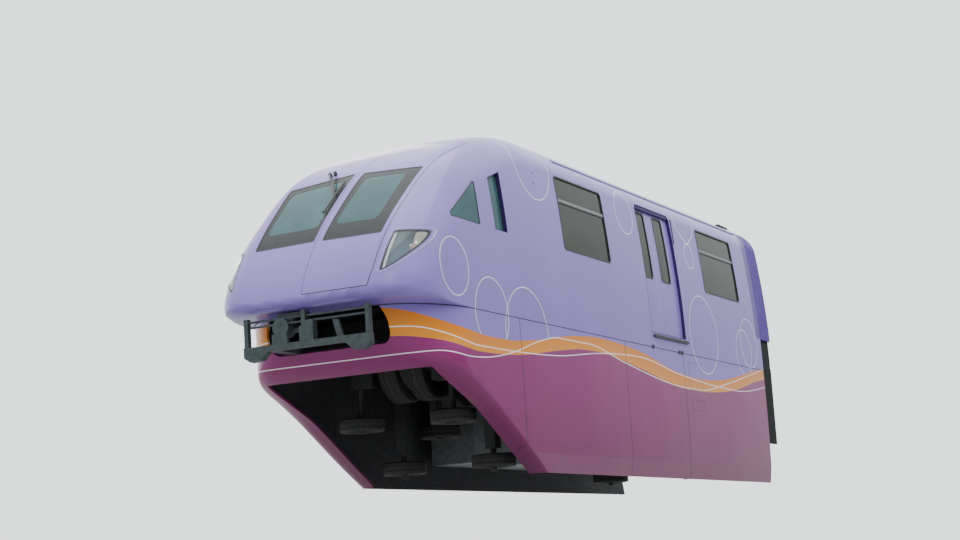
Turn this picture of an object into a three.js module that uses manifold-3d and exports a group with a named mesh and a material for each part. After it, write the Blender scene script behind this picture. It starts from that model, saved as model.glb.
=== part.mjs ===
// Straddle monorail car: the leading car of a two-car train, built around its beam.
// Millimetres. +X points to the nose, +Y to the car's left, +Z up.
// The origin is on the beam's running surface, midway between the two bogie pivots.
import * as THREE from 'three';
import { mergeVertices } from 'three/addons/utils/BufferGeometryUtils.js';
import Module from 'manifold-3d';

const wasm = await Module();
wasm.setup();

// Driving dimensions
const REAR = -5400;            // rear face of the body
const TAPER = 2300;            // where the roof starts to fall towards the nose
const CAB = 3700;              // joint between saloon walls and cab shell
const BELT = 895;              // seam between the body and its skirts
const HALF = 1345;             // half the width at the belt
const SIDE_RADIUS = 15300;     // the side walls' curve above the belt
const CANTRAIL = 3060;         // seam between side wall and roof
const FLOOR = 1100;            // floor covering
const FLOOR_THICK = 120;
const WALL = 100;              // saloon wall, with the door pocket inside
const CAB_WALL = 60;
const SKIRT_WALL = 45;
const NOSE_SKIRT_WALL = 60;
const SKIRT_BOTTOM = -950;
const SEAT = 0.5;              // gap between pieces that rest on each other
const BOGIE_X = 3300;          // bogie pivots, ahead of and behind the origin

// Upper body, one row per rib: the centre line from the roof down over the nose,
// the flat half-width there, the depth of the rounded corner, and the roof's crown.
const RIBS = [
  { x: 2300, z: 3420, flat: 790, corner: 412, crown: 64 },
  { x: 3100, z: 3385, flat: 800, corner: 430, crown: 54 },
  { x: 3670, z: 3283, flat: 820, corner: 470, crown: 40 },
  { x: 4270, z: 3090, flat: 850, corner: 520, crown: 20 },
  { x: 4780, z: 2870, flat: 850, corner: 560, crown: 6 },
  { x: 5160, z: 2655, flat: 850, corner: 600, crown: 0 },
  { x: 5680, z: 2215, flat: 850, corner: 650, crown: 0 },
  { x: 6160, z: 1715, flat: 850, corner: 700, crown: 0 },
  { x: 6395, z: 1385, flat: 840, corner: 720, crown: 0 },
  { x: 6525, z: 1110, flat: 830, corner: 750, crown: 0 },
  { x: 6550, z: 1000, flat: 800, corner: 800, crown: 0 },
  { x: 6470, z: 935, flat: 720, corner: 920, crown: 0 },
  { x: 6300, z: 908, flat: 650, corner: 1050, crown: 0 },
  { x: 6140, z: 895, flat: 600, corner: 1150, crown: 0 },
];
// Lower body, one row per level: height, front, flat half-width, corner depth and half-width.
const LEVELS = [
  { z: 885, front: 6130, flat: 600, corner: 1150, half: 1345 },
  { z: 550, front: 6000, flat: 700, corner: 950, half: 1350 },
  { z: 200, front: 5680, flat: 900, corner: 480, half: 1352 },
  { z: 0, front: 5140, flat: 1080, corner: 330, half: 1352 },
  { z: -190, front: 4660, flat: 1180, corner: 170, half: 1352 },
  { z: -345, front: 4370, flat: 1200, corner: 140, half: 1350 },
  { z: -700, front: 3745, flat: 1200, corner: 130, half: 1340 },
  { z: -950, front: 3300, flat: 1180, corner: 120, half: 1310 },
];

// Side windows and doors: start and end along the car, bottom and top
const WINDOWS = [
  { name: 'front', x0: 710, x1: 2245, z0: 1935, z1: 2940 },
  { name: 'rear', x0: -4575, x1: -2970, z0: 1935, z1: 2950 },
];
const WINDOW_CORNER = 45;
const REBATE = 26;             // how far a pane laps over its opening
const PANE = { face: 19.5, skin: 20, back: 32 };   // depths of the rebate and of the pane's two sides
const DOOR = { x0: -1880, x1: -520, z0: FLOOR, z1: 2990 };
const LEAF = { lap: 30, travel: 690, meet: 4, skin: 44, back: 76 };
const POCKET = { skin: 36, back: 84, spare: 50, head: 10 };
// The tall window of each leaf
const LEAF_PANE = { z0: 1920, z1: 2900, corner: 60, rebate: 15, face: 54, skin: 54.5, back: 66 };
const LEAF_PANE_X = { front: [-945, -575], rear: [-1640, -1265] };
const SILL_BAR = { x0: -1940, x1: -570, z0: 1040, z1: 1080, proud: 26 };

// The hatch in the nose, from its hinge line forwards; its outer edge is seen from ahead
const HATCH = {
  x: 4270,
  gap: 8,
  edge: [[838, 1058], [885, 1250], [905, 1650], [945, 2200], [985, 2700], [1000, 3500]],
};
// Windscreens, seen from ahead: the left one in the hatch, the right one given mirrored
const SCREENS = {
  left: [[78, 1693], [855, 1684], [934, 2585], [94, 2646]],
  right: [[40, 1700], [818, 1681], [856, 2549], [40, 2660]],
};
const SCREEN_X = 4400;
// Cab side windows, seen from the side: (z, x)
const QUARTER = [[1925, 4626], [1930, 5345], [1985, 5340], [2455, 4680], [2455, 4640]];
const SLIM = [[1925, 3900], [1925, 4235], [2565, 4265], [2695, 3915]];
const CAB_PANE = [[1895, 3860], [1895, 5385], [2015, 5385], [2500, 4720], [2735, 4300], [2735, 3870]];
// Headlights, seen from ahead
const LAMP = [
  [961, 1197], [1079, 1267], [1177, 1391], [1245, 1519], [1264, 1628], [1264, 1712], [996, 1693],
];
const LAMP_X = 5560;
const LAMP_DEPTH = [6, 56];

// Rear end: the wall, its passage, and what closes the space to the next car
const END_WALL = 70;
const PASSAGE = { y: 450, z0: FLOOR, z1: 3060 };
const GANGWAY = { length: 530, skin: 6, back: 76, bottom: 1400, tread: 60 };
const BELLOWS = { skin: 88, back: 148, bottom: 940, length: 524 };
const CURTAIN = { y0: 1197, y1: 1257, z0: -300 };      // rubber below the bellows
const PORTAL = { skin: 60, thick: 60, bottom: 1040 };
// A rain gutter on each edge of the roof
const GUTTER = { x0: -5180, x1: 2000, z0: 3172, z1: 3200, proud: 30 };
const ROOF_VENTS = { xs: [300, -3900], half: 260, y: 200, z0: 3330, z1: 3460 };

// Skirts: the seam to the nose skirt, the beam's way, and the recess for the coupler
const NOSE_SEAM = 3805;
const BEAM_WAY = { y: 1100, z: 200 };
// The recess, seen from ahead: its left edge from the floor up
const RECESS = {
  x: 5000,
  edge: [
    [690, 476], [745, 500], [785, 550], [802, 610], [802, 690],
    [782, 777], [749, 852], [725, 900], [700, 1200],
  ],
};

// Running gear, all about one bogie's pivot
const AXLES = [700, -700];
const AXLE_Z = 450;
const LOAD_WHEEL = [[150, 0], [150, 60], [415, 60], [450, 90], [450, 280], [415, 310], [60, 280], [60, 500]];
const GUIDES = { x: 1000, y: 630, z: -250 };
const STEADY_Z = -750;
const SIDE_WHEEL = [[40.8, -50], [262, -80], [280, -58], [280, 58], [262, 80], [40.8, 50]];
const PIVOT_PIN = { radius: 90, z0: 599, z1: 981 };

const PAINT = {
  lilac: 0xa79fd2, purple: 0x6d58a6, magenta: 0x9a3f86, dark: 0x24282b, grey: 0x8f9496, blue: 0x30507a,
  lamp: 0xdfe4e6,
};

// A mesh geometry becomes a solid for joining and cutting.
function solid(geometry) {
  const bare = geometry.index ? geometry.toNonIndexed() : geometry.clone();
  bare.deleteAttribute('normal');
  bare.deleteAttribute('uv');
  const merged = mergeVertices(bare, 1e-3);
  return new wasm.Manifold(new wasm.Mesh({
    numProp: 3,
    vertProperties: new Float32Array(merged.attributes.position.array),
    triVerts: new Uint32Array(merged.index.array),
  }));
}

function geometryOf(part) {
  const mesh = part.getMesh();
  const positions = new Float32Array(mesh.numVert * 3);
  for (let i = 0; i < mesh.numVert; i += 1) {
    positions.set(mesh.vertProperties.subarray(i * mesh.numProp, i * mesh.numProp + 3), i * 3);
  }
  const geometry = new THREE.BufferGeometry();
  geometry.setAttribute('position', new THREE.BufferAttribute(positions, 3));
  geometry.setIndex(new THREE.BufferAttribute(mesh.triVerts, 1));
  return geometry;
}

const join = (...parts) => parts.reduce((a, b) => a.add(b));

function box(x0, x1, y0, y1, z0, z1) {
  const geometry = new THREE.BoxGeometry(x1 - x0, y1 - y0, z1 - z0);
  return solid(geometry.translate((x0 + x1) / 2, (y0 + y1) / 2, (z0 + z1) / 2));
}

// A round bar along 'x', 'y' or 'z', centred on a point.
function bar(axis, centre, radius, length, sides = 24) {
  const geometry = new THREE.CylinderGeometry(radius, radius, length, sides);
  if (axis === 'x') geometry.rotateZ(Math.PI / 2);
  if (axis === 'z') geometry.rotateX(Math.PI / 2);
  return solid(geometry.translate(...centre));
}

// Where an extrusion's own x, y and depth point, for each axis that it can run along.
const direction = (place) => new THREE.Vector3(...place);
const basis = (...columns) => new THREE.Matrix4().makeBasis(...columns.map(direction));
const AXES = {
  x: basis([0, 1, 0], [0, 0, 1], [1, 0, 0]),
  y: basis([0, 0, 1], [1, 0, 0], [0, 1, 0]),
  z: basis([1, 0, 0], [0, 1, 0], [0, 0, 1]),
};

// An outline is extruded along an axis from one place to another.
// Outline points are (y, z) along x, (z, x) along y, and (x, y) along z.
function extrude(axis, outline, from, to) {
  const shape = outline instanceof THREE.Shape
    ? outline
    : new THREE.Shape(outline.map(([a, b]) => new THREE.Vector2(a, b)));
  const settings = { depth: to - from, bevelEnabled: false, curveSegments: 2 };
  const geometry = new THREE.ExtrudeGeometry(shape, settings);
  return solid(geometry.translate(0, 0, from).applyMatrix4(AXES[axis]));
}

// A rectangle with round corners, as an extrusion outline.
function roundedRectangle(a0, a1, b0, b1, r) {
  const shape = new THREE.Shape();
  shape.moveTo(a0 + r, b0);
  shape.lineTo(a1 - r, b0);
  shape.absarc(a1 - r, b0 + r, r, -Math.PI / 2, 0);
  shape.lineTo(a1, b1 - r);
  shape.absarc(a1 - r, b1 - r, r, 0, Math.PI / 2);
  shape.lineTo(a0 + r, b1);
  shape.absarc(a0 + r, b1 - r, r, Math.PI / 2, Math.PI);
  shape.lineTo(a0, b0 + r);
  shape.absarc(a0 + r, b0 + r, r, Math.PI, Math.PI * 1.5);
  return shape;
}

// Half the body's width at a height: upright below the belt, a large arc above it.
const sideAt = (z) => HALF - Math.max(0, z - BELT) ** 2 / (2 * SIDE_RADIUS);
const sideSlope = (z) => -Math.max(0, z - BELT) / SIDE_RADIUS;

// Points of a conic arc from a to b that leaves and arrives towards c.
function conic(a, c, b, steps) {
  const w = Math.SQRT1_2;
  return Array.from({ length: steps - 1 }, (_, i) => {
    const t = (i + 1) / steps;
    const [p, q, r] = [(1 - t) ** 2, 2 * w * t * (1 - t), t * t];
    return [0, 1].map((k) => (p * a[k] + q * c[k] + r * b[k]) / (p + q + r));
  });
}

// One rib, from the centre line outwards: (y, distance from the fan's axis).
function ribCurve(row, rise, inset) {
  const { radius, flat, corner, crown } = row;
  const side = (r) => sideAt(BELT + r * rise) - inset;
  const shoulder = [flat, radius - crown];
  const low = radius - crown - corner;
  const foot = [side(low), low];
  const m = (2 * crown) / flat;
  const k = sideSlope(BELT + low * rise) * rise;
  const yc = (foot[0] + k * (shoulder[1] + m * flat - low)) / (1 + k * m);
  const control = [yc, shoulder[1] - m * (yc - flat)];
  const top = [0, 0.5, 1].map((t) => [flat * t, radius - crown * t * t]);
  const down = [0.75, 0.5, 0.25, 0].map((t) => [side(low * t), low * t]);
  return [...top, ...conic(shoulder, control, foot, 6), foot, ...down];
}

// The upper body as one closed solid, its outside moved in by an inset.
// Its ribs fan round a crossways axis at the belt, from upright at the roof to level at the belt.
function upperBody(inset) {
  const rows = RIBS.map((row, i) => {
    const before = RIBS[Math.max(0, i - 1)];
    const after = RIBS[Math.min(RIBS.length - 1, i + 1)];
    let [tx, tz] = [after.x - before.x, after.z - before.z];
    if (i === 0) tz = 0;
    const length = Math.hypot(tx, tz);
    const last = RIBS.length - 4;
    const x = row.x + (tz / length) * inset - (i > last ? inset * 0.5 : 0);
    let z = row.z - (tx / length) * inset;
    if (i >= last) z = row.z;
    const [dx, dz] = [x - TAPER, z - BELT];
    const radius = Math.hypot(dx, dz);
    return { ...row, x, z, radius, dir: [dx / radius, dz / radius] };
  });
  const ring = (row, x0) => {
    const half = ribCurve({ ...row, flat: row.flat - inset * 0.4 }, row.dir[1], inset);
    const right = half.slice(1).reverse().map(([y, r]) => [-y, r]);
    return [...right, ...half].map(([y, r]) => [x0 + r * row.dir[0], y, BELT + r * row.dir[1]]);
  };
  const upright = { ...rows[0], dir: [0, 1], radius: rows[0].z - BELT };
  const fan = rows.slice(1).map((row) => ring(row, TAPER));
  return skin([ring(upright, REAR - 1000), ring(upright, TAPER), ...fan]);
}

// Joins rings of points into a closed solid; the first ring is the rear, the last the underside.
function skin(rings) {
  const points = rings.flat();
  const n = rings[0].length;
  const faces = [];
  const same = (a, b) => points[a].every((v, k) => Math.abs(v - points[b][k]) < 1e-3);
  const face = (a, b, c) => {
    if (!same(a, b) && !same(b, c) && !same(a, c)) faces.push(a, b, c);
  };
  for (let i = 0; i < rings.length - 1; i += 1) {
    for (let j = 0; j < n - 1; j += 1) {
      const [a, b] = [i * n + j, i * n + j + 1];
      face(a, a + n, b);
      face(b, a + n, b + n);
    }
  }
  const cap = (indices, project) => {
    const flat = indices.map((i) => new THREE.Vector2(...project(points[i])));
    const triangles = THREE.ShapeUtils.triangulateShape(flat, []);
    for (const [a, b, c] of triangles) face(indices[a], indices[b], indices[c]);
  };
  const first = Array.from({ length: n }, (_, j) => j);
  cap([...first].reverse(), ([, y, z]) => [-y, z]);
  const lastRing = first.map((j) => (rings.length - 1) * n + j);
  cap([0, ...lastRing, n - 1], ([x, y]) => [x, -y]);
  const geometry = new THREE.BufferGeometry();
  geometry.setAttribute('position', new THREE.BufferAttribute(new Float32Array(points.flat()), 3));
  geometry.setIndex(faces);
  return solid(geometry);
}

// The lower body between its top and bottom levels, as one closed solid.
function lowerBody(insetX, insetY, top, bottom) {
  const outline = ({ front, flat, corner, half }) => {
    const [f, y, h] = [front - insetX, flat - insetY * 0.5, half - insetY];
    const arc = conic([y, f], [h, f], [h, f - corner], 6).map(([b, a]) => [a, b]);
    const left = [[f, 0], [f, y], ...arc, [f - corner, h], [REAR - 1000, h]];
    const right = left.slice(1).reverse().map(([x, b]) => [x, -b]);
    return [...right, ...left];
  };
  const heights = [top, ...LEVELS.slice(1, -1).map((row) => row.z), bottom];
  const rings = LEVELS.map((row, i) => outline(row).map(([x, y]) => [x, y, heights[i]]));
  const n = rings[0].length;
  const points = rings.flat();
  const faces = [];
  for (let i = 0; i < rings.length - 1; i += 1) {
    for (let j = 0; j < n; j += 1) {
      const [a, b] = [i * n + j, i * n + ((j + 1) % n)];
      faces.push(a, a + n, b, b, a + n, b + n);
    }
  }
  const cap = (ring) => THREE.ShapeUtils.triangulateShape(ring.map(([x, y]) => new THREE.Vector2(x, y)), []);
  for (const [a, b, c] of cap(rings[0])) faces.push(a, b, c);
  const base = (rings.length - 1) * n;
  for (const [a, b, c] of cap(rings.at(-1))) faces.push(base + a, base + c, base + b);
  const geometry = new THREE.BufferGeometry();
  geometry.setAttribute('position', new THREE.BufferAttribute(new Float32Array(points.flat()), 3));
  geometry.setIndex(faces);
  return solid(geometry);
}

const FAR = 9000;
const layers = new Map();
function layer(inset) {
  if (!layers.has(inset)) layers.set(inset, upperBody(inset));
  return layers.get(inset);
}
const between = (skinInset, backInset) => layer(skinInset).subtract(layer(backInset));

// The same solid on the other side of the car.
function mirrored(part) {
  const geometry = geometryOf(part).applyMatrix4(new THREE.Matrix4().makeScale(1, -1, 1));
  const index = geometry.index.array;
  for (let i = 0; i < index.length; i += 3) [index[i + 1], index[i + 2]] = [index[i + 2], index[i + 1]];
  return solid(geometry);
}

// A solid of revolution: (radius, distance along the axis) pairs, turned to 'y' or 'z'.
function turned(axis, centre, profile, sides) {
  const points = profile.map(([r, h]) => new THREE.Vector2(r, h));
  const geometry = new THREE.LatheGeometry(points, sides);
  if (axis === 'z') geometry.rotateX(Math.PI / 2);
  return solid(geometry.translate(...centre));
}

// An outline moved outwards by a distance, corner by corner.
function grown(points, distance) {
  const area = points.reduce((sum, [a, b], i) => {
    const [c, d] = points[(i + 1) % points.length];
    return sum + a * d - b * c;
  }, 0);
  const sign = Math.sign(area);
  return points.map((point, i) => {
    const before = points[(i + points.length - 1) % points.length];
    const after = points[(i + 1) % points.length];
    const [u, v] = [[before, point], [point, after]].map(([p, q]) => {
      const length = Math.hypot(q[0] - p[0], q[1] - p[1]);
      return [sign * (q[1] - p[1]) / length, -sign * (q[0] - p[0]) / length];
    });
    const scale = distance / (1 + u[0] * v[0] + u[1] * v[1]);
    return [point[0] + (u[0] + v[0]) * scale, point[1] + (u[1] + v[1]) * scale];
  });
}

const car = new THREE.Group();
function add(name, part, colour, roughness = 0.4, metalness = 0) {
  const material = new THREE.MeshStandardMaterial({ color: colour, roughness, metalness });
  const mesh = new THREE.Mesh(geometryOf(part), material);
  mesh.name = name;
  car.add(mesh);
}
function addPair(name, left, colour, roughness, metalness) {
  add(`${name}_left`, left, colour, roughness, metalness);
  add(`${name}_right`, mirrored(left), colour, roughness, metalness);
}

// Everything left of the centre between two places along the car and two heights.
const leftOf = (x0, x1, z0, z1) => box(x0, x1, 0, FAR, z0, z1);
const acrossCar = (x0, x1, z0, z1) => box(x0, x1, -FAR, FAR, z0, z1);
// A window's outline pushed through the left wall.
function throughWall(x0, x1, z0, z1, corner, grow = 0) {
  const outline = roundedRectangle(z0 - grow, z1 + grow, x0 - grow, x1 + grow, corner + grow);
  return extrude('y', outline, 600, 2000);
}
const pairOf = (left) => join(left, mirrored(left));

// Saloon walls with their windows, door pockets and sill bars, and the roof with its vents
function saloon() {
  const shell = between(0, WALL);
  let wall = shell.intersect(leftOf(REAR, CAB - SEAT, BELT, CANTRAIL - SEAT));
  for (const { name, x0, x1, z0, z1 } of WINDOWS) {
    const rebate = throughWall(x0, x1, z0, z1, WINDOW_CORNER, REBATE).intersect(layer(PANE.face));
    const pane = throughWall(x0, x1, z0, z1, WINDOW_CORNER, REBATE - SEAT);
    wall = wall.subtract(throughWall(x0, x1, z0, z1, WINDOW_CORNER)).subtract(rebate);
    addPair(`window_${name}`, pane.intersect(between(PANE.skin, PANE.back)), PAINT.dark, 0.1);
  }
  const reach = LEAF.travel + POCKET.spare;
  const pocket = between(POCKET.skin, POCKET.back)
    .intersect(leftOf(DOOR.x0 - reach, DOOR.x1 + reach, DOOR.z0, DOOR.z1 + LEAF.lap + POCKET.head));
  const doorway = leftOf(DOOR.x0, DOOR.x1, DOOR.z0, DOOR.z1);
  const { x0, x1, z0, z1, proud } = SILL_BAR;
  const sillBar = between(-proud, WALL / 3).intersect(leftOf(x0, x1, z0, z1));
  addPair('side_wall', wall.subtract(doorway).subtract(pocket).add(sillBar), PAINT.lilac);

  const { xs, half, y, z0: foot, z1: head } = ROOF_VENTS;
  const vents = xs.map((x) => box(x - half, x + half, -y, y, foot, head));
  const gutter = between(-GUTTER.proud, WALL / 3)
    .intersect(leftOf(GUTTER.x0, GUTTER.x1, GUTTER.z0, GUTTER.z1));
  const top = shell.intersect(acrossCar(REAR, CAB - SEAT, CANTRAIL, FAR));
  add('roof', join(top, pairOf(gutter), ...vents), PAINT.lilac);
}

// Two leaves a side, each with a tall pane; they run in the walls' pockets
function doors() {
  const seam = (DOOR.x0 + DOOR.x1) / 2;
  const leaves = [
    { name: 'front', x0: seam + LEAF.meet, x1: DOOR.x1 + LEAF.lap },
    { name: 'rear', x0: DOOR.x0 - LEAF.lap, x1: seam - LEAF.meet },
  ];
  const { z0, z1, corner, rebate, face, skin: paneSkin, back } = LEAF_PANE;
  for (const { name, x0, x1 } of leaves) {
    const place = [...LEAF_PANE_X[name], z0, z1, corner];
    const blank = between(LEAF.skin, LEAF.back).intersect(leftOf(x0, x1, DOOR.z0 + SEAT, DOOR.z1 + LEAF.lap));
    const cut = throughWall(...place, rebate).intersect(layer(face));
    addPair(`door_${name}`, blank.subtract(throughWall(...place)).subtract(cut), PAINT.lilac);
    const pane = throughWall(...place, rebate - SEAT).intersect(between(paneSkin, back));
    addPair(`door_glass_${name}`, pane, PAINT.dark, 0.1);
  }
}

// Cab shell, with its hatch, windscreens, side windows and headlights
function cab() {
  const shell = between(0, CAB_WALL);
  const paneDepth = between(PANE.skin, PANE.back);
  const ahead = (outline, x0) => extrude('x', outline, x0, FAR);
  const aside = (outline) => extrude('y', outline, 600, 2000);
  const hatchOutline = (grow) => [
    [HATCH.gap / 2 - grow, HATCH.edge[0][1] - grow],
    ...HATCH.edge.map(([y, z], i) => [y + grow, i === 0 ? z - grow : z]),
    [HATCH.gap / 2 - grow, HATCH.edge.at(-1)[1]],
  ];
  const rebate = (outline) => ahead(grown(outline, REBATE), SCREEN_X).intersect(layer(PANE.face));
  const screenCut = (outline) => join(ahead(outline, SCREEN_X), rebate(outline));
  const screen = (outline) => ahead(grown(outline, REBATE - SEAT), SCREEN_X).intersect(paneDepth);
  const sideCuts = join(
    aside(QUARTER),
    aside(SLIM),
    aside(CAB_PANE).intersect(layer(PANE.face)),
    ahead(grown(LAMP, SEAT), LAMP_X),
  );
  const body = shell.intersect(acrossCar(CAB, FAR, BELT, FAR))
    .subtract(ahead(hatchOutline(HATCH.gap), HATCH.x - HATCH.gap))
    .subtract(mirrored(screenCut(SCREENS.right)))
    .subtract(pairOf(sideCuts));
  add('cab_shell', body, PAINT.lilac);
  const hatch = shell.intersect(ahead(hatchOutline(0), HATCH.x));
  add('front_hatch', hatch.subtract(screenCut(SCREENS.left)), PAINT.lilac);
  add('windshield_left', screen(SCREENS.left), PAINT.dark, 0.1);
  add('windshield_right', mirrored(screen(SCREENS.right)), PAINT.dark, 0.1);
  addPair('cab_glass', aside(grown(CAB_PANE, -SEAT)).intersect(paneDepth), PAINT.dark, 0.1);
  addPair('headlight', ahead(LAMP, LAMP_X + 2).intersect(between(...LAMP_DEPTH)), PAINT.lamp, 0.1);
}

// Rear end wall, and the gangway: a smooth hood, a bellows and curtains inside it, a portal
// and a tread
function rearEnd() {
  const passage = box(-FAR, FAR, -PASSAGE.y, PASSAGE.y, PASSAGE.z0, PASSAGE.z1);
  const wall = layer(WALL + SEAT).intersect(acrossCar(REAR, REAR + END_WALL, BELT, FAR)).subtract(passage);
  add('end_wall', wall, PAINT.lilac);
  const [face, root] = [REAR - GANGWAY.length, REAR - SEAT];
  const hood = between(GANGWAY.skin, GANGWAY.back).intersect(acrossCar(face, root, GANGWAY.bottom, FAR));
  const bellows = between(BELLOWS.skin, BELLOWS.back)
    .intersect(acrossCar(REAR - BELLOWS.length, root, BELLOWS.bottom, FAR));
  const drop = leftOf(REAR - BELLOWS.length, root, CURTAIN.z0, BELLOWS.bottom + 1);
  const curtain = pairOf(drop.intersect(box(-FAR, FAR, CURTAIN.y0, CURTAIN.y1, -FAR, FAR)));
  const portal = layer(PORTAL.skin).intersect(acrossCar(face, face + PORTAL.thick, PORTAL.bottom, FAR));
  const tread = box(face, root, -PASSAGE.y - 1, PASSAGE.y + 1, PASSAGE.z0 - GANGWAY.tread, PASSAGE.z0);
  add('gangway', join(hood, bellows, curtain, portal.subtract(passage), tread), PAINT.purple);
}

// Side skirts, and the nose skirt with the coupler's recess
function skirts() {
  const top = LEVELS[0].z;
  const shell = lowerBody(0, 0, top, SKIRT_BOTTOM)
    .subtract(lowerBody(NOSE_SKIRT_WALL, SKIRT_WALL, top + 10, SKIRT_BOTTOM - 10))
    .subtract(box(-FAR, FAR, -BEAM_WAY.y, BEAM_WAY.y, -FAR, BEAM_WAY.z));
  addPair('skirt', shell.intersect(leftOf(REAR, NOSE_SEAM, -FAR, FAR)), PAINT.magenta);
  const otherEdge = RECESS.edge.map(([y, z]) => [-y, z]).reverse();
  const recess = extrude('x', [...RECESS.edge, ...otherEdge], RECESS.x, FAR);
  const nose = shell.intersect(acrossCar(NOSE_SEAM + SEAT, FAR, -FAR, FAR)).subtract(recess);
  add('nose_skirt', nose, PAINT.magenta);
}

// Floor, sills, headstocks and one pivot pin per bogie
function underframe() {
  const under = FLOOR - FLOOR_THICK;
  const deck = (inset, x0, x1) => layer(inset + SEAT).intersect(acrossCar(x0, x1, under, FLOOR));
  const sill = { y0: 1120, y1: 1236, z0: 720, x0: REAR + 100, x1: 4900 };
  const skirtRail = { y0: 1200, y1: 1299.5, z0: 720, z1: 880, x0: REAR + 100, x1: 4700 };
  const headstocks = [
    box(5180, 5300, -900, 900, 480, under + 1),
    box(REAR + 120, REAR + 220, -1150, 1150, 740, under + 1),
  ];
  const pins = [BOGIE_X, -BOGIE_X].map((x) => {
    const { radius, z0, z1 } = PIVOT_PIN;
    return bar('z', [x, 0, (z0 + z1) / 2], radius, z1 - z0);
  });
  const side = join(
    box(sill.x0, sill.x1, sill.y0, sill.y1, sill.z0, under + 1),
    box(skirtRail.x0, skirtRail.x1, skirtRail.y0, skirtRail.y1, skirtRail.z0, skirtRail.z1),
  );
  const decks = [deck(WALL, REAR + END_WALL + SEAT, CAB + 1), deck(CAB_WALL, CAB, FAR)];
  add('underframe', join(...decks, pairOf(side), ...headstocks, ...pins), PAINT.dark, 0.6);
  addPair('equipment', box(-1700, 1700, 440, 1100, -640, under - SEAT), PAINT.grey, 0.5, 0.3);
}

// Anticlimber with its lugs and posts, what stands on it, and two drag beams
function coupler() {
  const climber = { x0: 6400, x1: 6500, y: 820, z0: 478, z1: 545 };
  const lug = [[500, 500], [500, 478], [600, 386], [740, 376], [820, 430], [820, 500]];
  const post = { x0: 6420, x1: 6480, y0: 765, y1: 820, z1: 868 };
  const rods = { x: 6450, zs: [770, 830], radius: 13, length: 1560 };
  const drum = { centre: [6390, -335, 728], radius: 105, length: 180 };
  const bracket = { x0: 6320, x1: 6390, y0: -420, y1: -40, z0: 668, z1: 895, hole: 50 };
  const plate = [[322, 752], [396, 745], [452, 540], [378, 540]];
  const drag = { y0: 420, y1: 560, x0: 5300.5, z0: 484, z1: 544 };
  const foot = climber.z1 - 5;
  const { x0, x1, y0, y1, z0, z1, hole } = bracket;
  const frame = box(x0, x1, y0, y1, z0, z1);
  const opening = box(x0, x1, y0 + 4 * hole, y1 - hole, z0 + hole, z1 - hole);
  const parts = [
    box(climber.x0, climber.x1, -climber.y, climber.y, climber.z0, climber.z1),
    bar('x', drum.centre, drum.radius, drum.length, 20),
    box(post.x0, post.x1, -450, -250, foot, 660),
    box(post.x0, post.x1, -60, -6, foot, 895),
    box(climber.x0, climber.x1 - 5, -20, 100, foot, 772),
    box(x0, post.x1, y1 - hole, y1 - 5, foot, z0 + hole),
    frame.subtract(opening),
    extrude('x', plate, 6400, 6440),
  ];
  for (const z of rods.zs) parts.push(bar('y', [rods.x, 0, z], rods.radius, rods.length, 10));
  const side = join(
    extrude('x', lug, climber.x0, climber.x1),
    box(post.x0, post.x1, post.y0, post.y1, foot, post.z1),
    box(drag.x0, climber.x0 + 10, drag.y0, drag.y1, drag.z0, drag.z1),
  );
  add('coupler_frame', join(...parts, pairOf(side)), PAINT.grey, 0.5, 0.8);
}

// Driver's desk and seat, the saloon's benches and the grab rails
function fittings() {
  const floor = FLOOR + SEAT;
  const desk = [[floor, 5350], [floor, 6300], [1560, 6300], [1640, 5500], [1560, 5350]];
  add('driver_desk', extrude('y', desk, -1050, -60).intersect(layer(CAB_WALL + 30)), PAINT.dark, 0.7);
  const seat = join(
    box(4650, 5150, -780, -300, 1500, 1590),
    box(4600, 4690, -780, -300, 1560, 2250),
    bar('z', [4900, -540, 1315], 70, 410, 16),
    box(4700, 5100, -740, -340, floor, FLOOR + 30),
  );
  add('driver_seat', seat, PAINT.blue, 0.8);
  const bench = [
    [850, floor], [1190, floor], [1190, 2000], [1130, 2000],
    [1110, 1560], [750, 1560], [750, 1480], [850, 1460],
  ];
  addPair('bench_front', extrude('x', bench, 330, 3450), PAINT.blue, 0.8);
  addPair('bench_rear', extrude('x', bench, REAR + 170, -2650), PAINT.blue, 0.8);
  const rail = { x: -1100, length: 7000, z: 2880, radius: 20, top: 3319 };
  const poles = [-4300, -2500, 200, 1900];
  const height = rail.top - FLOOR - 2 * SEAT;
  const rails = poles.map((x) => bar('z', [x, 0, (FLOOR + rail.top) / 2], rail.radius, height, 8));
  rails.push(bar('x', [rail.x, 0, rail.z], rail.radius, rail.length, 8));
  add('grab_rails', join(...rails), PAINT.grey, 0.3, 0.9);
}

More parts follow.
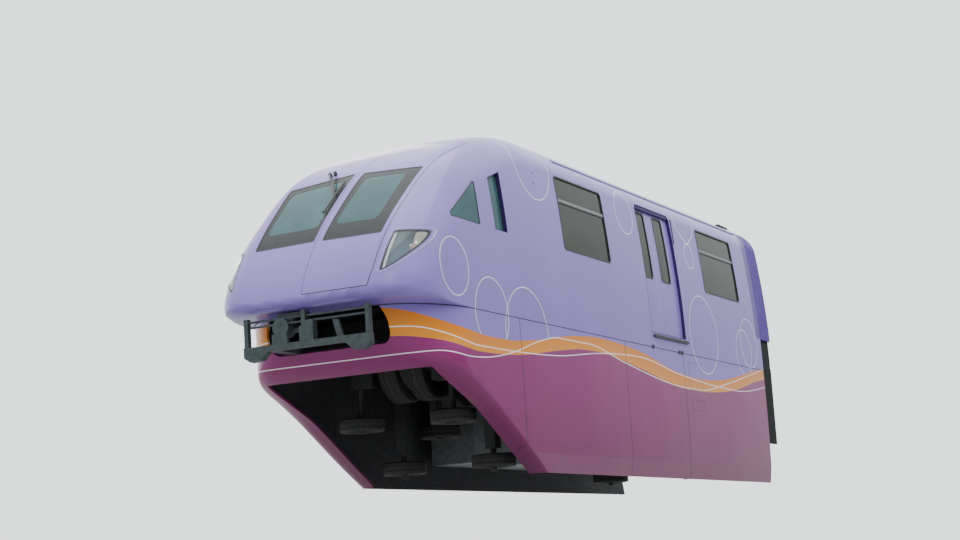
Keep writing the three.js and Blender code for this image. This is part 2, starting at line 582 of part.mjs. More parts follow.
// Bogie: frame, two load axles, four guide wheels and two steadying wheels
function bogie(end, x) {
  const side = [
    box(x - 1080, x + 1080, 400, 520, 350, 600),
    bar('z', [x, 700, 870], 170, 202, 14),
    box(x - 80, x + 80, 560, 700, -600, 500),
    bar('z', [x, GUIDES.y, STEADY_Z + 25], 40, 300, 8),
  ];
  for (const dx of [GUIDES.x, -GUIDES.x]) {
    side.push(box(x + dx - 80, x + dx + 80, 410, 710, 200, 380));
    side.push(bar('z', [x + dx, GUIDES.y, -60], 40, 560, 8));
  }
  let frame = join(box(x - 150, x + 150, -880, 880, 480, 780), pairOf(join(...side)))
    .subtract(bar('z', [x, 0, 600], PIVOT_PIN.radius + 2.3, 600, 16));
  for (const dx of AXLES) frame = frame.subtract(bar('y', [x + dx, 0, AXLE_Z], 62.7, 1400, 12));
  add(`bogie_frame_${end}`, frame, PAINT.dark, 0.6, 0.3);

  const half = LOAD_WHEEL.slice(1);
  const profile = [[0, -500], ...half.map(([r, y]) => [r, -y]).reverse(), ...half, [0, 500]];
  AXLES.forEach((dx, i) => {
    add(`axle_${end}_${i + 1}`, turned('y', [x + dx, 0, AXLE_Z], profile, 24), PAINT.dark, 0.9);
  });
  const ring = [...SIDE_WHEEL, SIDE_WHEEL[0]];
  const wheels = [
    { tag: 'a', dx: GUIDES.x, z: GUIDES.z },
    { tag: 'b', dx: -GUIDES.x, z: GUIDES.z },
    { tag: 'low', dx: 0, z: STEADY_Z },
  ];
  for (const { tag, dx, z } of wheels) {
    addPair(`guide_${end}_${tag}`, turned('z', [x + dx, GUIDES.y, z], ring, 20), PAINT.dark, 0.9);
  }
}

saloon();
doors();
cab();
rearEnd();
skirts();
underframe();
coupler();
fittings();
bogie('front', BOGIE_X);
bogie('rear', -BOGIE_X);

export default car;
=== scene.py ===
# %% [markdown]
# # Dressing a straddle monorail car
# The car's solid pieces arrive from CAD with the right size and place. This script gives
# them their looks: smooth painted panels worked out as surfaces, glass, tyres and trim.
# Every piece is in metres in the CAD's frame: +X to the nose, +Y to the car's left, +Z up.

# %% Load the CAD pieces
import math

import bpy
import numpy as np
from mathutils import Matrix, Vector
from mathutils.geometry import delaunay_2d_cdt


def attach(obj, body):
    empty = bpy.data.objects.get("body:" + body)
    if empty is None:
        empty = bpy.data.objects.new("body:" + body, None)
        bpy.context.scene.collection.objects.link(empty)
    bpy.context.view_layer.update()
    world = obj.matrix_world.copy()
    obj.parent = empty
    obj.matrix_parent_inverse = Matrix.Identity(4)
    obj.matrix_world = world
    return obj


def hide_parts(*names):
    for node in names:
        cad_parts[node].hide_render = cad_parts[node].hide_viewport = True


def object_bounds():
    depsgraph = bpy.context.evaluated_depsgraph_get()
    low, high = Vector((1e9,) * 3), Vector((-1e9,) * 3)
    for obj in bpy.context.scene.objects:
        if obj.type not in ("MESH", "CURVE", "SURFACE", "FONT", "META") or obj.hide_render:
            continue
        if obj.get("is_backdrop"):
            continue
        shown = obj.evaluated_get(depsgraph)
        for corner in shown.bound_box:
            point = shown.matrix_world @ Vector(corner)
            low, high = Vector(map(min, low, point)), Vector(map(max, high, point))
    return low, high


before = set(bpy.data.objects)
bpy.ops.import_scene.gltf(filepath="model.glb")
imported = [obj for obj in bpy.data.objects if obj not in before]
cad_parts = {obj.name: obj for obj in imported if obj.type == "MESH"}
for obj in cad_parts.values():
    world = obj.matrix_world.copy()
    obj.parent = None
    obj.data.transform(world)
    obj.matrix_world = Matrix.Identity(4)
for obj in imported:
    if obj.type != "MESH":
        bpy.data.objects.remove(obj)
cad_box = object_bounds()
print("CAD nodes:", len(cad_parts))

# %% [markdown]
# ## The camera
# The photographer stood below the track and to the left of the nose, with a fairly long
# lens held a little askew. The place and the angles come from the picture's own straight
# edges, so the camera is built from its three axes and not aimed at a target.

# %% Camera
CAMERA_AT = (23.412, 10.679, -2.083)
YAW, PITCH, ROLL = np.radians([26.614, 9.388, -3.595])
FOCAL_WIDTHS = 1819.949 / 960          # focal length over the picture's width

forward = np.array([-np.cos(YAW) * np.cos(PITCH), -np.sin(YAW) * np.cos(PITCH), np.sin(PITCH)])
level = np.cross(forward, [0, 0, 1])
level /= np.linalg.norm(level)
upright = np.cross(level, forward)
right = np.cos(ROLL) * level + np.sin(ROLL) * upright
up = np.cos(ROLL) * upright - np.sin(ROLL) * level

camera_data = bpy.data.cameras.new("photographer")
camera_data.sensor_width = 36.0
camera_data.lens = FOCAL_WIDTHS * 36.0
camera_data.clip_end = 500.0
camera = bpy.data.objects.new("photographer", camera_data)
pose = np.eye(4)
pose[:3, 0], pose[:3, 1], pose[:3, 2], pose[:3, 3] = right, up, -forward, CAMERA_AT
camera.matrix_world = Matrix(pose.tolist())
bpy.context.scene.collection.objects.link(camera)
bpy.context.scene.camera = camera
print(f"lens {camera_data.lens:.1f} mm")

# %% [markdown]
# ## The studio
# A pale floor just under the camera, a pale sky that is a little darker towards the
# ground so that glossy paint has something to reflect, and three large soft lamps.

# %% Floor
FLOOR_Z = CAMERA_AT[2] - 0.05
FLOOR_REACH = 90


def node_material(name):
    """An empty node material with its output, ready for a shader."""
    material = bpy.data.materials.new(name)
    material.use_nodes = True
    tree = material.node_tree
    tree.nodes.clear()
    output = tree.nodes.new("ShaderNodeOutputMaterial")
    return material, tree, output


floor_mesh = bpy.data.meshes.new("studio_floor")
corner_signs = ((-1, -1), (1, -1), (1, 1), (-1, 1))
floor_corners = [(x * FLOOR_REACH, y * FLOOR_REACH, FLOOR_Z) for x, y in corner_signs]
floor_mesh.from_pydata(floor_corners, [], [(0, 1, 2, 3)])
floor = bpy.data.objects.new("studio_floor", floor_mesh)
bpy.context.scene.collection.objects.link(floor)
floor_look, tree, output = node_material("studio_floor")
shader = tree.nodes.new("ShaderNodeBsdfPrincipled")
shader.inputs["Base Color"].default_value = (0.34, 0.345, 0.34, 1)
shader.inputs["Roughness"].default_value = 0.9
tree.links.new(shader.outputs[0], output.inputs[0])
floor.data.materials.append(floor_look)
floor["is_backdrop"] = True
print(f"floor at z {FLOOR_Z:.3f}")

# %% Sky
world = bpy.data.worlds.new("pale_sky")
bpy.context.scene.world = world
world.use_nodes = True
tree = world.node_tree
tree.nodes.clear()
where = tree.nodes.new("ShaderNodeTexCoord")
height = tree.nodes.new("ShaderNodeSeparateXYZ")
shade = tree.nodes.new("ShaderNodeValToRGB")
sky = tree.nodes.new("ShaderNodeBackground")
out = tree.nodes.new("ShaderNodeOutputWorld")
tree.links.new(where.outputs["Generated"], height.inputs[0])
tree.links.new(height.outputs["Z"], shade.inputs[0])
tree.links.new(sky.outputs[0], out.inputs[0])
ramp = shade.color_ramp
ramp.elements[0].position, ramp.elements[0].color = 0.0, (0.86, 0.90, 0.92, 1)
ramp.elements[1].position, ramp.elements[1].color = 0.9, (0.95, 0.98, 1.0, 1)
print("sky steps:", len(ramp.elements))

# %% A dark screen low in the sky
def world_math(operation, a, b, c=None):
    """A math node in the sky's tree; each input is a socket or a number."""
    node = tree.nodes.new("ShaderNodeMath")
    node.operation = operation
    for value, socket in zip((a, b, c), node.inputs):
        if isinstance(value, (int, float)):
            socket.default_value = value
        elif value is not None:
            tree.links.new(value, socket)
    return node


# A dark screen stands low ahead of the nose and on the side that the long wall faces, so
# that the gloss mirrors something darker than the sky, as it does with trees about it.
leftwards = world_math("MULTIPLY", height.outputs["Y"], 2.2)
ahead = world_math("MULTIPLY", height.outputs["X"], 1.3)
sideways = world_math("MAXIMUM", leftwards.outputs[0], ahead.outputs[0])
sideways.use_clamp = True
low_down = world_math("MULTIPLY_ADD", height.outputs["Z"], -2.4, 1.3)
low_down.use_clamp = True
screen = world_math("MULTIPLY", sideways.outputs[0], low_down.outputs[0])
dimming = tree.nodes.new("ShaderNodeMix")
dimming.data_type = "RGBA"
dimming.inputs[7].default_value = (0.10, 0.11, 0.12, 1)
tree.links.new(screen.outputs[0], dimming.inputs[0])
tree.links.new(shade.outputs[0], dimming.inputs[6])
tree.links.new(dimming.outputs[2], sky.inputs[0])
sky.inputs["Strength"].default_value = 2.2
print("sky nodes:", len(tree.nodes))

# %% Lamps
def soft_lamp(name, place, target, size, watts):
    """A square area lamp of a given size, aimed from a place to a target."""
    data = bpy.data.lights.new(name, "AREA")
    data.shape = "SQUARE"
    data.size = size
    data.energy = watts
    lamp = bpy.data.objects.new(name, data)
    lamp.location = place
    lamp.rotation_euler = (Vector(target) - Vector(place)).to_track_quat("-Z", "Y").to_euler()
    bpy.context.scene.collection.objects.link(lamp)


soft_lamp("overhead", (2, 3, 16), (0, 0, 1), 14, 1800)
soft_lamp("front_left", (17, 12, 9), (3, 0, 1), 8, 500)
soft_lamp("rear_right", (-12, -14, 9), (0, 0, 1), 9, 700)
print("lamps:", len(bpy.data.lights))

# %% [markdown]
# ## The shape of the body as a formula
# The real body is a tube: upright ribs through the saloon, then ribs that lean forward
# like a fan about a cross axis at the belt line, until the last one lies flat under the
# nose. One table row per rib gives the point on the centre line, the half-width of the
# flat top, the depth of the rounded corner and the crown of the roof.

# %% Tables of the upper and lower body
REAR, TAPER, CAB = -5.40, 2.30, 3.70
JOINT = CAB - 0.0015                  # the saloon's sheets stop here, just short of the cab
BELT, CANTRAIL, HALF, SIDE_RADIUS = 0.895, 3.060, 1.345, 15.3

RIBS = np.array([     # x, z, flat half-width, corner depth, crown
    (2.300, 3.420, 0.790, 0.412, 0.064),
    (3.100, 3.385, 0.800, 0.430, 0.054),
    (3.670, 3.283, 0.820, 0.470, 0.040),
    (4.270, 3.090, 0.850, 0.520, 0.020),
    (4.780, 2.870, 0.850, 0.560, 0.006),
    (5.160, 2.655, 0.850, 0.600, 0.000),
    (5.680, 2.215, 0.850, 0.650, 0.000),
    (6.160, 1.715, 0.850, 0.700, 0.000),
    (6.395, 1.385, 0.840, 0.720, 0.000),
    (6.525, 1.110, 0.830, 0.750, 0.000),
    (6.550, 1.000, 0.800, 0.800, 0.000),
    (6.470, 0.935, 0.720, 0.920, 0.000),
    (6.300, 0.908, 0.650, 1.050, 0.000),
    (6.140, 0.895, 0.600, 1.150, 0.000),
])
LEVELS = np.array([   # z, front, flat half-width, corner depth, half-width
    (0.885, 6.130, 0.600, 1.150, 1.343),
    (0.550, 6.000, 0.700, 0.950, 1.348),
    (0.200, 5.680, 0.900, 0.480, 1.350),
    (0.000, 5.140, 1.080, 0.330, 1.350),
    (-0.190, 4.660, 1.180, 0.170, 1.350),
    (-0.345, 4.370, 1.200, 0.140, 1.348),
    (-0.700, 3.745, 1.200, 0.130, 1.338),
    (-0.950, 3.300, 1.180, 0.120, 1.308),
])
SHEET = 3.0           # nominal length of half a rib when the body is unrolled


def hermite(knots, rows, t):
    """A smooth curve through table rows: cubic pieces whose slope at a knot is the mean of
    its neighbours' slopes, or zero at a peak, so that the curve never overshoots."""
    step = np.diff(knots)[:, None]
    slope = np.diff(rows, axis=0) / step
    at_knot = np.zeros_like(rows)
    at_knot[1:-1] = (slope[:-1] * step[1:] + slope[1:] * step[:-1]) / (step[1:] + step[:-1])
    at_knot[1:-1][slope[:-1] * slope[1:] <= 0] = 0
    at_knot[0], at_knot[-1] = slope[0], slope[-1]
    i = np.clip(np.searchsorted(knots, t, side="right") - 1, 0, len(knots) - 2)
    u = ((t - knots[i]) / (knots[i + 1] - knots[i]))[..., None]
    return ((2 * u**3 - 3 * u**2 + 1) * rows[i] + (u**3 - 2 * u**2 + u) * step[i] * at_knot[i]
            + (3 * u**2 - 2 * u**3) * rows[i + 1] + (u**3 - u**2) * step[i] * at_knot[i + 1])


rib_knots = np.concatenate([[0], np.cumsum(np.hypot(*np.diff(RIBS[:, :2], axis=0).T))])
fine = hermite(rib_knots, RIBS, np.linspace(0, rib_knots[-1], 2001))
LEAN = np.arctan2(fine[:, 0] - TAPER, fine[:, 1] - BELT)
LEAN[0] = 0.0
REACH = np.hypot(fine[:, 0] - TAPER, fine[:, 1] - BELT)
TURN = np.linspace(0, math.pi / 2, len(fine))    # the pattern's own angle, even along the centre line
print("ribs lean from", LEAN[0], "to", round(math.degrees(LEAN[-1])), "degrees")

# %% [markdown]
# ## From a flat pattern to the body
# A tailor's trick makes the panels easy to cut: half of the body is unrolled into a flat
# pattern, with distance along the car one way and distance up the rib the other way.
# Outlines are cut in the flat, and one function lays the pattern back on the body.

# %% The upper body's surface
TOP_SHARE, CORNER_SHARE = 0.30, 0.52    # where the flat top and the corner end, along a rib


def side_at(z):
    """Half-width of the side wall: upright at the belt, then an arc of large radius."""
    return HALF - np.maximum(0, z - BELT) ** 2 / (2 * SIDE_RADIUS)


def rib(lean, w):
    """(y, r) on the rib that leans forward by an angle: w runs from 0 on the centre line,
    over a parabolic crown, a conic corner that is tangent to both, and the side, to 1 at
    the belt. r is the distance from the fan's axis."""
    columns = (REACH, fine[:, 2], fine[:, 3], fine[:, 4])
    radius, flat, corner, crown = [np.interp(lean, LEAN, column) for column in columns]
    rise = np.cos(lean)
    low = radius - crown - corner
    foot = side_at(BELT + low * rise)
    shoulder = radius - crown
    tilt = 2 * crown / flat
    lean_in = -np.maximum(0, low * rise) / SIDE_RADIUS * rise
    pull_y = (foot + lean_in * (shoulder + tilt * flat - low)) / (1 + lean_in * tilt)
    pull_r = shoulder - tilt * (pull_y - flat)
    k = np.clip(w / TOP_SHARE, 0, 1)
    t = np.clip((w - TOP_SHARE) / (CORNER_SHARE - TOP_SHARE), 0, 1)
    p, q, s = (1 - t) ** 2, math.sqrt(2) * t * (1 - t), t * t
    corner_y = (p * flat + q * pull_y + s * foot) / (p + q + s)
    corner_r = (p * shoulder + q * pull_r + s * low) / (p + q + s)
    down = low * (1 - np.clip((w - CORNER_SHARE) / (1 - CORNER_SHARE), 0, 1))
    side_y = np.where(w <= CORNER_SHARE, corner_y, side_at(BELT + down * rise))
    side_r = np.where(w <= CORNER_SHARE, corner_r, down)
    y = np.where(w <= TOP_SHARE, flat * k, side_y)
    r = np.where(w <= TOP_SHARE, radius - crown * k**2, side_r)
    return y, r


def upper(flat):
    """Points of the left half of the upper body from points of its flat pattern. Behind the
    taper the pattern is a plain sheet; ahead of it, a fan about the pattern's own corner."""
    X, Y = flat[:, 0], flat[:, 1]
    fan = X > TAPER
    turn = np.where(fan, np.arctan2(X - TAPER, np.maximum(Y, 1e-9)), 0.0)
    lean = np.interp(turn, TURN, LEAN)
    rho = np.where(fan, np.hypot(X - TAPER, Y), Y)
    y, r = rib(lean, 1 - rho / SHEET)
    return np.stack([np.where(fan, TAPER + r * np.sin(lean), X), y, BELT + r * np.cos(lean)], -1)


def from_side(points):
    """Flat-pattern places of points known by their side view (x, z), by bisection on r."""
    x, z = np.asarray(points, float).T
    lean = np.where(x > TAPER, np.arctan2(x - TAPER, np.maximum(z - BELT, 0)), 0.0)
    r = np.where(x > TAPER, np.hypot(x - TAPER, z - BELT), z - BELT)
    low, high = np.zeros_like(r), np.ones_like(r)
    for _ in range(40):
        middle = (low + high) / 2
        above = rib(lean, middle)[1] > r
        low, high = np.where(above, middle, low), np.where(above, high, middle)
    rho = SHEET * (1 - low)
    turn = np.interp(lean, LEAN, TURN)
    along = np.where(x > TAPER, TAPER + rho * np.sin(turn), x)
    return np.stack([along, np.where(x > TAPER, rho * np.cos(turn), rho)], -1)


SCAN = np.linspace(0.05, 1.569, 400)     # pattern angles tried when a front view is matched


def from_front(points):
    """Flat-pattern places of points known by their front view (y, z). For each lean, the
    rib is followed out to y; the lean whose height there is z is the one wanted."""
    y, z = np.asarray(points, float).T
    lean = np.repeat(np.interp(SCAN, TURN, LEAN)[None], len(y), 0)
    low, high = np.zeros_like(lean), np.full_like(lean, 0.75)
    for _ in range(34):
        middle = (low + high) / 2
        inside = rib(lean, middle)[0] < y[:, None]
        low, high = np.where(inside, middle, low), np.where(inside, high, middle)
    height = BELT + rib(lean, low)[1] * np.cos(lean)
    turn = np.array([np.interp(-zi, -h, SCAN) for zi, h in zip(z, height)])
    rho = SHEET * (1 - np.array([np.interp(a, SCAN, row) for a, row in zip(turn, low)]))
    flat = np.stack([TAPER + rho * np.sin(turn), rho * np.cos(turn)], -1)
    target, e = np.stack([y, z], -1), 1e-4
    nudges = np.eye(2) * e
    for _ in range(6):                   # Newton steps make the match exact
        miss = target - upper(flat)[:, 1:]
        slopes = np.stack([(upper(flat + d) - upper(flat - d))[:, 1:] / (2 * e) for d in nudges], -1)
        move = np.linalg.solve(slopes + 1e-9 * np.eye(2), miss[..., None])[..., 0]
        flat = flat + np.clip(move, -0.05, 0.05)
    return flat


def lower(flat):
    """Points of the left half of the lower body from its pattern. Pattern y is height. Pattern
    x runs back along the side below 0, in metres behind the corner's foot, round the conic
    corner from 0 to 1, and across the front from 1 to the centre line at 2."""
    c, z = flat[:, 0], flat[:, 1]
    front, flat_half, corner, half = hermite(-LEVELS[:, 0], LEVELS[:, 1:], -z).T
    t = np.clip(c, 0, 1)
    p, q, s = (1 - t) ** 2, math.sqrt(2) * t * (1 - t), t * t
    y = (p * half + q * half + s * flat_half) / (p + q + s)
    x = (p * (front - corner) + q * front + s * front) / (p + q + s)
    y = np.where(c < 0, half, np.where(c > 1, flat_half * (2 - c), y))
    x = np.where(c < 0, front - corner + c, np.where(c > 1, front, x))
    return np.stack([x, y, z], -1)


def corner_foot(z):
    """Where the lower body's side ends and its rounded corner starts, at a height."""
    front, _, corner, _ = hermite(-LEVELS[:, 0], LEVELS[:, 1:], -np.asarray(z, float)).T
    return front - corner


nose_tip = upper(from_front([(0.2, 1.0)]))[0]
print("a place low on the nose:", nose_tip.round(3))

# %% [markdown]
# ## Cutting a panel
# A panel is an outline with holes, filled with an even net of triangles. The constrained
# Delaunay call keeps the outlines exact, so a window's edge is as smooth as its drawing.
# The net is laid on the body, given thickness along the body's own normals, and closed
# with a rim all round.

# %% Flat outlines and nets
def spaced(points, step):
    """A closed outline with its sides divided so that no side is longer than step."""
    points = np.asarray(points, float)
    out = []
    for a, b in zip(points, np.roll(points, -1, axis=0)):
        n = max(1, int(np.ceil(np.linalg.norm(b - a) / step)))
        out.append(a + (b - a) * np.arange(n)[:, None] / n)
    return np.concatenate(out)


def rounded(points, radius, steps=6):
    """A polygon with each corner replaced by an arc: a quadratic curve between the two
    points at the tangent length, which is the radius over the half-angle's tangent."""
    points = np.asarray(points, float)
    radii = np.broadcast_to(radius, len(points))
    out = []
    for i, corner in enumerate(points):
        a, b = points[i - 1] - corner, points[(i + 1) % len(points)] - corner
        la, lb = np.linalg.norm(a), np.linalg.norm(b)
        half = math.acos(np.clip(a @ b / la / lb, -1, 1)) / 2
        reach = min(radii[i] / math.tan(half), 0.45 * la, 0.45 * lb)
        t = np.linspace(0, 1, steps + 1)[:, None]
        start, end = corner + a / la * reach, corner + b / lb * reach
        bulge = (1 - math.sin(half)) * 0.9 + 0.1
        middle = (start + end) / 2 + (corner - (start + end) / 2) * bulge
        out.append((1 - t) ** 2 * start + 2 * t * (1 - t) * middle + t**2 * end)
    return np.concatenate(out)


def inside(points, loop):
    """True for each point within a closed loop, by the crossing rule."""
    x, y = points[:, :1], points[:, 1:]
    x0, y0 = loop[:, 0], loop[:, 1]
    x1, y1 = np.roll(x0, -1), np.roll(y0, -1)
    with np.errstate(divide="ignore", invalid="ignore"):
        crossing = ((y0 > y) != (y1 > y)) & (x < (x1 - x0) * (y - y0) / (y1 - y0) + x0)
    return crossing.sum(1) % 2 == 1


def net(outline, holes, step):
    """Triangles that fill a flat outline and leave its holes open: (points, faces)."""
    loops = [np.asarray(outline), *map(np.asarray, holes)]
    edge_points = np.concatenate(loops)
    edges, start = [], 0
    for loop in loops:
        i = np.arange(len(loop))
        edges.append(np.stack([start + i, start + (i + 1) % len(loop)], -1))
        start += len(loop)
    low, high = loops[0].min(0), loops[0].max(0)
    gx, gy = np.meshgrid(*[np.arange(a + step / 2, b, step) for a, b in zip(low, high)])
    gx[::2] += step / 2
    grid = np.stack([gx.ravel(), gy.ravel()], -1)
    keep = inside(grid, loops[0])
    for hole in loops[1:]:
        keep &= ~inside(grid, hole)
    grid = grid[keep]
    for chunk in np.array_split(edge_points, max(1, len(edge_points) // 200)):
        near = np.linalg.norm(grid[:, None] - chunk[None], axis=-1).min(1)
        grid = grid[near > step * 0.55]
    points = np.concatenate([edge_points, grid])
    made = delaunay_2d_cdt([Vector(p) for p in points], np.concatenate(edges).tolist(), [], 0, 1e-7)
    points = np.array([tuple(v) for v in made[0]])
    faces = np.array(made[2])
    middle = points[faces].mean(1)
    keep = inside(middle, loops[0])
    for hole in loops[1:]:
        keep &= ~inside(middle, hole)
    faces = faces[keep]
    a, b, c = points[faces[:, 0]], points[faces[:, 1]], points[faces[:, 2]]
    area = (b - a)[:, 0] * (c - a)[:, 1] - (b - a)[:, 1] * (c - a)[:, 0]
    faces[area < 0] = faces[area < 0][:, ::-1]
    faces = faces[np.abs(area) > 1e-9]
    used, faces = np.unique(faces, return_inverse=True)
    return points[used], faces.reshape(-1, 3)


# %% Laying a net on the body, and giving it thickness
def laid(surface, flat):
    """Points on a surface and their outward normals, from the slopes of nearby points."""
    e = 1e-4
    here = surface(flat)
    along = surface(flat + [e, 0]) - surface(flat - [e, 0])
    across = surface(flat + [0, e]) - surface(flat - [0, e])
    normal = np.cross(along, across)
    length = np.linalg.norm(normal, axis=1, keepdims=True)
    normal = normal / np.maximum(length, 1e-15)
    outward = here - [0, 0, 1.2]
    outward[:, 0] = np.maximum(0, here[:, 0] - 3.0)
    flip = np.sum(normal * outward, axis=1) < 0
    normal[flip] *= -1
    return here, normal


def facing(points, faces, normals):
    """The faces, each turned so that its winding agrees with the given point normals."""
    a, b, c = points[faces[:, 0]], points[faces[:, 1]], points[faces[:, 2]]
    wrong = np.sum(np.cross(b - a, c - a) * normals[faces].sum(1), axis=1) < 0
    faces = faces.copy()
    faces[wrong] = faces[wrong][:, ::-1]
    return faces


def merged(points, faces, *extras):
    """The same triangles with equal points made one, and collapsed triangles dropped."""
    _, first, back = np.unique(np.round(points, 5), axis=0, return_index=True, return_inverse=True)
    faces = back.reshape(-1)[faces]
    good = (faces[:, 0] != faces[:, 1]) & (faces[:, 1] != faces[:, 2]) & (faces[:, 0] != faces[:, 2])
    return points[first], faces[good], *[e[first] for e in extras]


def thick(points, normals, faces, skin, depth):
    """A closed sheet: the outside at skin below the surface, the inside at depth below it,
    and a rim of quads along every edge that only one triangle uses."""
    edges = np.concatenate([faces[:, [0, 1]], faces[:, [1, 2]], faces[:, [2, 0]]])
    n = len(points)
    key, back = edges[:, 0] * n + edges[:, 1], edges[:, 1] * n + edges[:, 0]
    rim = edges[~np.isin(back, key)]
    quads = np.stack([rim[:, 1], rim[:, 0], rim[:, 0] + n, rim[:, 1] + n], -1)
    solid = np.concatenate([points - normals * skin, points - normals * depth])
    return solid, [*faces.tolist(), *(faces[:, ::-1] + n).tolist(), *quads.tolist()]


def halves(left, right):
    """Joins left-hand nets, and right-hand nets mirrored in y, into one: each is a tuple of
    points, normals and faces."""
    points, normals, faces, start = [], [], [], 0
    for side, nets in ((1, left), (-1, right)):
        for p, m, f in nets:
            flip = np.array([1, side, 1])
            points.append(p * flip)
            normals.append(m * flip)
            faces.append((f if side > 0 else f[:, ::-1]) + start)
            start += len(p)
    p, f, m = merged(np.concatenate(points), np.concatenate(faces), np.concatenate(normals))
    centre = np.abs(p[:, 1]) < 1e-4
    m[centre, 1] = 0
    return p, m / np.linalg.norm(m, axis=1, keepdims=True), f


def on_body(surface, outline, holes=(), step=0.05):
    """A net cut from a flat outline and laid on a surface: (points, normals, faces)."""
    flat, faces = net(outline, holes, step)
    points, normals = laid(surface, flat)
    return points, normals, facing(points, faces, normals)


# %% Making a Blender piece
def piece(name, points, faces, body, look, replaces=(), sharp=32):
    """A smooth-shaded mesh with sharp edges over an angle, riding on a CAD body."""
    mesh = bpy.data.meshes.new(name)
    mesh.from_pydata(np.asarray(points).tolist(), [], [list(map(int, f)) for f in faces])
    mesh.update()
    mesh.polygons.foreach_set("use_smooth", np.ones(len(mesh.polygons), bool))
    mesh.set_sharp_from_angle(angle=math.radians(sharp))
    mesh.materials.append(look)
    made = bpy.data.objects.new(name, mesh)
    bpy.context.scene.collection.objects.link(made)
    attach(made, body)
    if replaces:
        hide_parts(*replaces)
    return made


def panel(name, nets, skin, depth, body, slot, look, replaces=(), sharp=32, behind=None):
    """A sheet of nets with its outside and inside at two depths below the surface. Its two
    faces are shaded with the surface's own normals; a second finish can go on the inside."""
    points, normals, faces = nets
    solid, all_faces = thick(points, normals, faces, skin, depth)
    made = piece(name, solid, all_faces, body, look, replaces, sharp)
    n = len(faces)
    if np.ndim(skin) == 0:
        corners = np.zeros((len(made.data.loops), 3))
        corners[:3 * n] = normals[faces.ravel()]
        corners[3 * n:6 * n] = -normals[faces[:, ::-1].ravel()]
        made.data.normals_split_custom_set(corners.tolist())
    if behind:
        made.data.materials.append(behind)
        which = np.zeros(len(all_faces), np.int32)
        which[n:2 * n] = 1
        made.data.polygons.foreach_set("material_index", which)
    return made


def mirrored_net(nets):
    """The same net on the car's other side."""
    points, normals, faces = nets
    flip = np.array([1, -1, 1])
    return points * flip, normals * flip, faces[:, ::-1]


def to_side(nets, sign):
    """A left-hand net itself, or its mirror image when the sign is negative."""
    return nets if sign > 0 else mirrored_net(nets)


# %% [markdown]
# ## Paint that carries the livery
# The real livery is printed film: an orange wave with a magenta field under it, thin white
# lines that wander along it, and white circle outlines. Each edge is a signed distance that
# is worked out for every mesh point and stored with it. Between points such a distance is
# nearly straight, so the shader can cut it at zero and get a crisp edge on a coarse mesh.

# %% Lines of the livery, seen from the side
BAND_TOP = np.array([     # x, z along the upper edge of the orange wave
    (-5.40, 0.915), (-4.90, 0.850), (-4.164, 0.719), (-3.188, 0.590), (-2.294, 0.547),
    (-1.477, 0.584), (0.018, 0.787), (1.394, 0.854), (2.211, 0.811), (3.575, 0.640),
    (4.129, 0.597), (4.908, 0.610), (5.628, 0.720), (6.099, 0.860)])
BAND_BOTTOM = np.array([
    (-5.40, 0.740), (-4.852, 0.660), (-4.10, 0.510), (-3.137, 0.400), (-2.30, 0.365),
    (-1.423, 0.376), (0.077, 0.550), (1.437, 0.664), (2.086, 0.649), (2.710, 0.584),
    (3.886, 0.437), (4.940, 0.400), (5.632, 0.492), (5.994, 0.547)])
LINE_A = np.array([
    (-5.40, 0.615), (-4.843, 0.535), (-4.00, 0.47), (-3.159, 0.480), (-1.469, 0.566),
    (0.033, 0.707), (1.440, 0.646), (2.725, 0.517), (3.881, 0.474), (4.931, 0.468),
    (5.636, 0.590), (5.845, 0.633), (6.031, 0.646)])
LINE_B = np.array([
    (-5.40, 0.905), (-4.60, 0.75), (-3.642, 0.572), (-2.255, 0.382), (-1.422, 0.388),
    (0.603, 0.590), (1.747, 0.744), (2.685, 0.744), (3.288, 0.652), (4.019, 0.462),
    (4.695, 0.351), (5.184, 0.327), (5.643, 0.369), (5.884, 0.351)])
CIRCLES = np.array([      # x, z, radius of each outline; none of these touches another
    (5.40, 1.340, 0.34), (3.60, 0.690, 0.60), (2.89, 3.020, 0.52), (-0.06, 2.775, 0.31),
    (-2.50, 3.170, 0.47), (-2.50, 2.450, 0.19), (-2.68, 1.250, 0.60), (-4.49, 1.120, 0.37)])
MORE_CIRCLES = np.array([(4.53, 0.880, 0.43), (-4.78, 1.290, 0.40)])    # these cross one of the others
LINE_HALF = 0.0055        # half the width of a printed line


def wave(rows, x):
    """Height of a livery line at x: the smooth curve through its rows."""
    return hermite(rows[:, 0], rows[:, 1:], np.clip(x, rows[0, 0], rows[-1, 0]))[..., 0]


def livery_distances(points):
    """Signed distances, in metres, to each livery edge: above the band's top, above the
    band's bottom, above each white line, and outside the circles."""
    x, z = points[:, 0], points[:, 2]

    def above(rows):
        """Height over a line, divided by the length that the line's slope gives."""
        slope = (wave(rows, x + 0.01) - wave(rows, x - 0.01)) / 0.02
        return (z - wave(rows, x)) / np.sqrt(1 + slope**2)

    def outside(rows):
        """Distance outside the nearest circle outline."""
        return (np.hypot(x[:, None] - rows[:, 0], z[:, None] - rows[:, 1]) - rows[:, 2]).min(1)

    return {"above_top": above(BAND_TOP), "above_bottom": above(BAND_BOTTOM), "line_a": above(LINE_A),
            "line_b": above(LINE_B), "ring_a": outside(CIRCLES), "ring_b": outside(MORE_CIRCLES)}


def print_livery(made):
    """Stores the livery's distances on a piece's points, for the paint to read."""
    mesh = made.data
    flat = np.empty(len(mesh.vertices) * 3)
    mesh.vertices.foreach_get("co", flat)
    for name, values in livery_distances(flat.reshape(-1, 3)).items():
        stored = mesh.attributes.new(name, "FLOAT", "POINT")
        stored.data.foreach_set("value", values.astype(np.float32))


# %% [markdown]
# ## Finishes
# Each finish is a small node tree: a Principled shader whose colour, roughness and bump
# come from noise in the piece's own coordinates, because no real surface is one flat value.

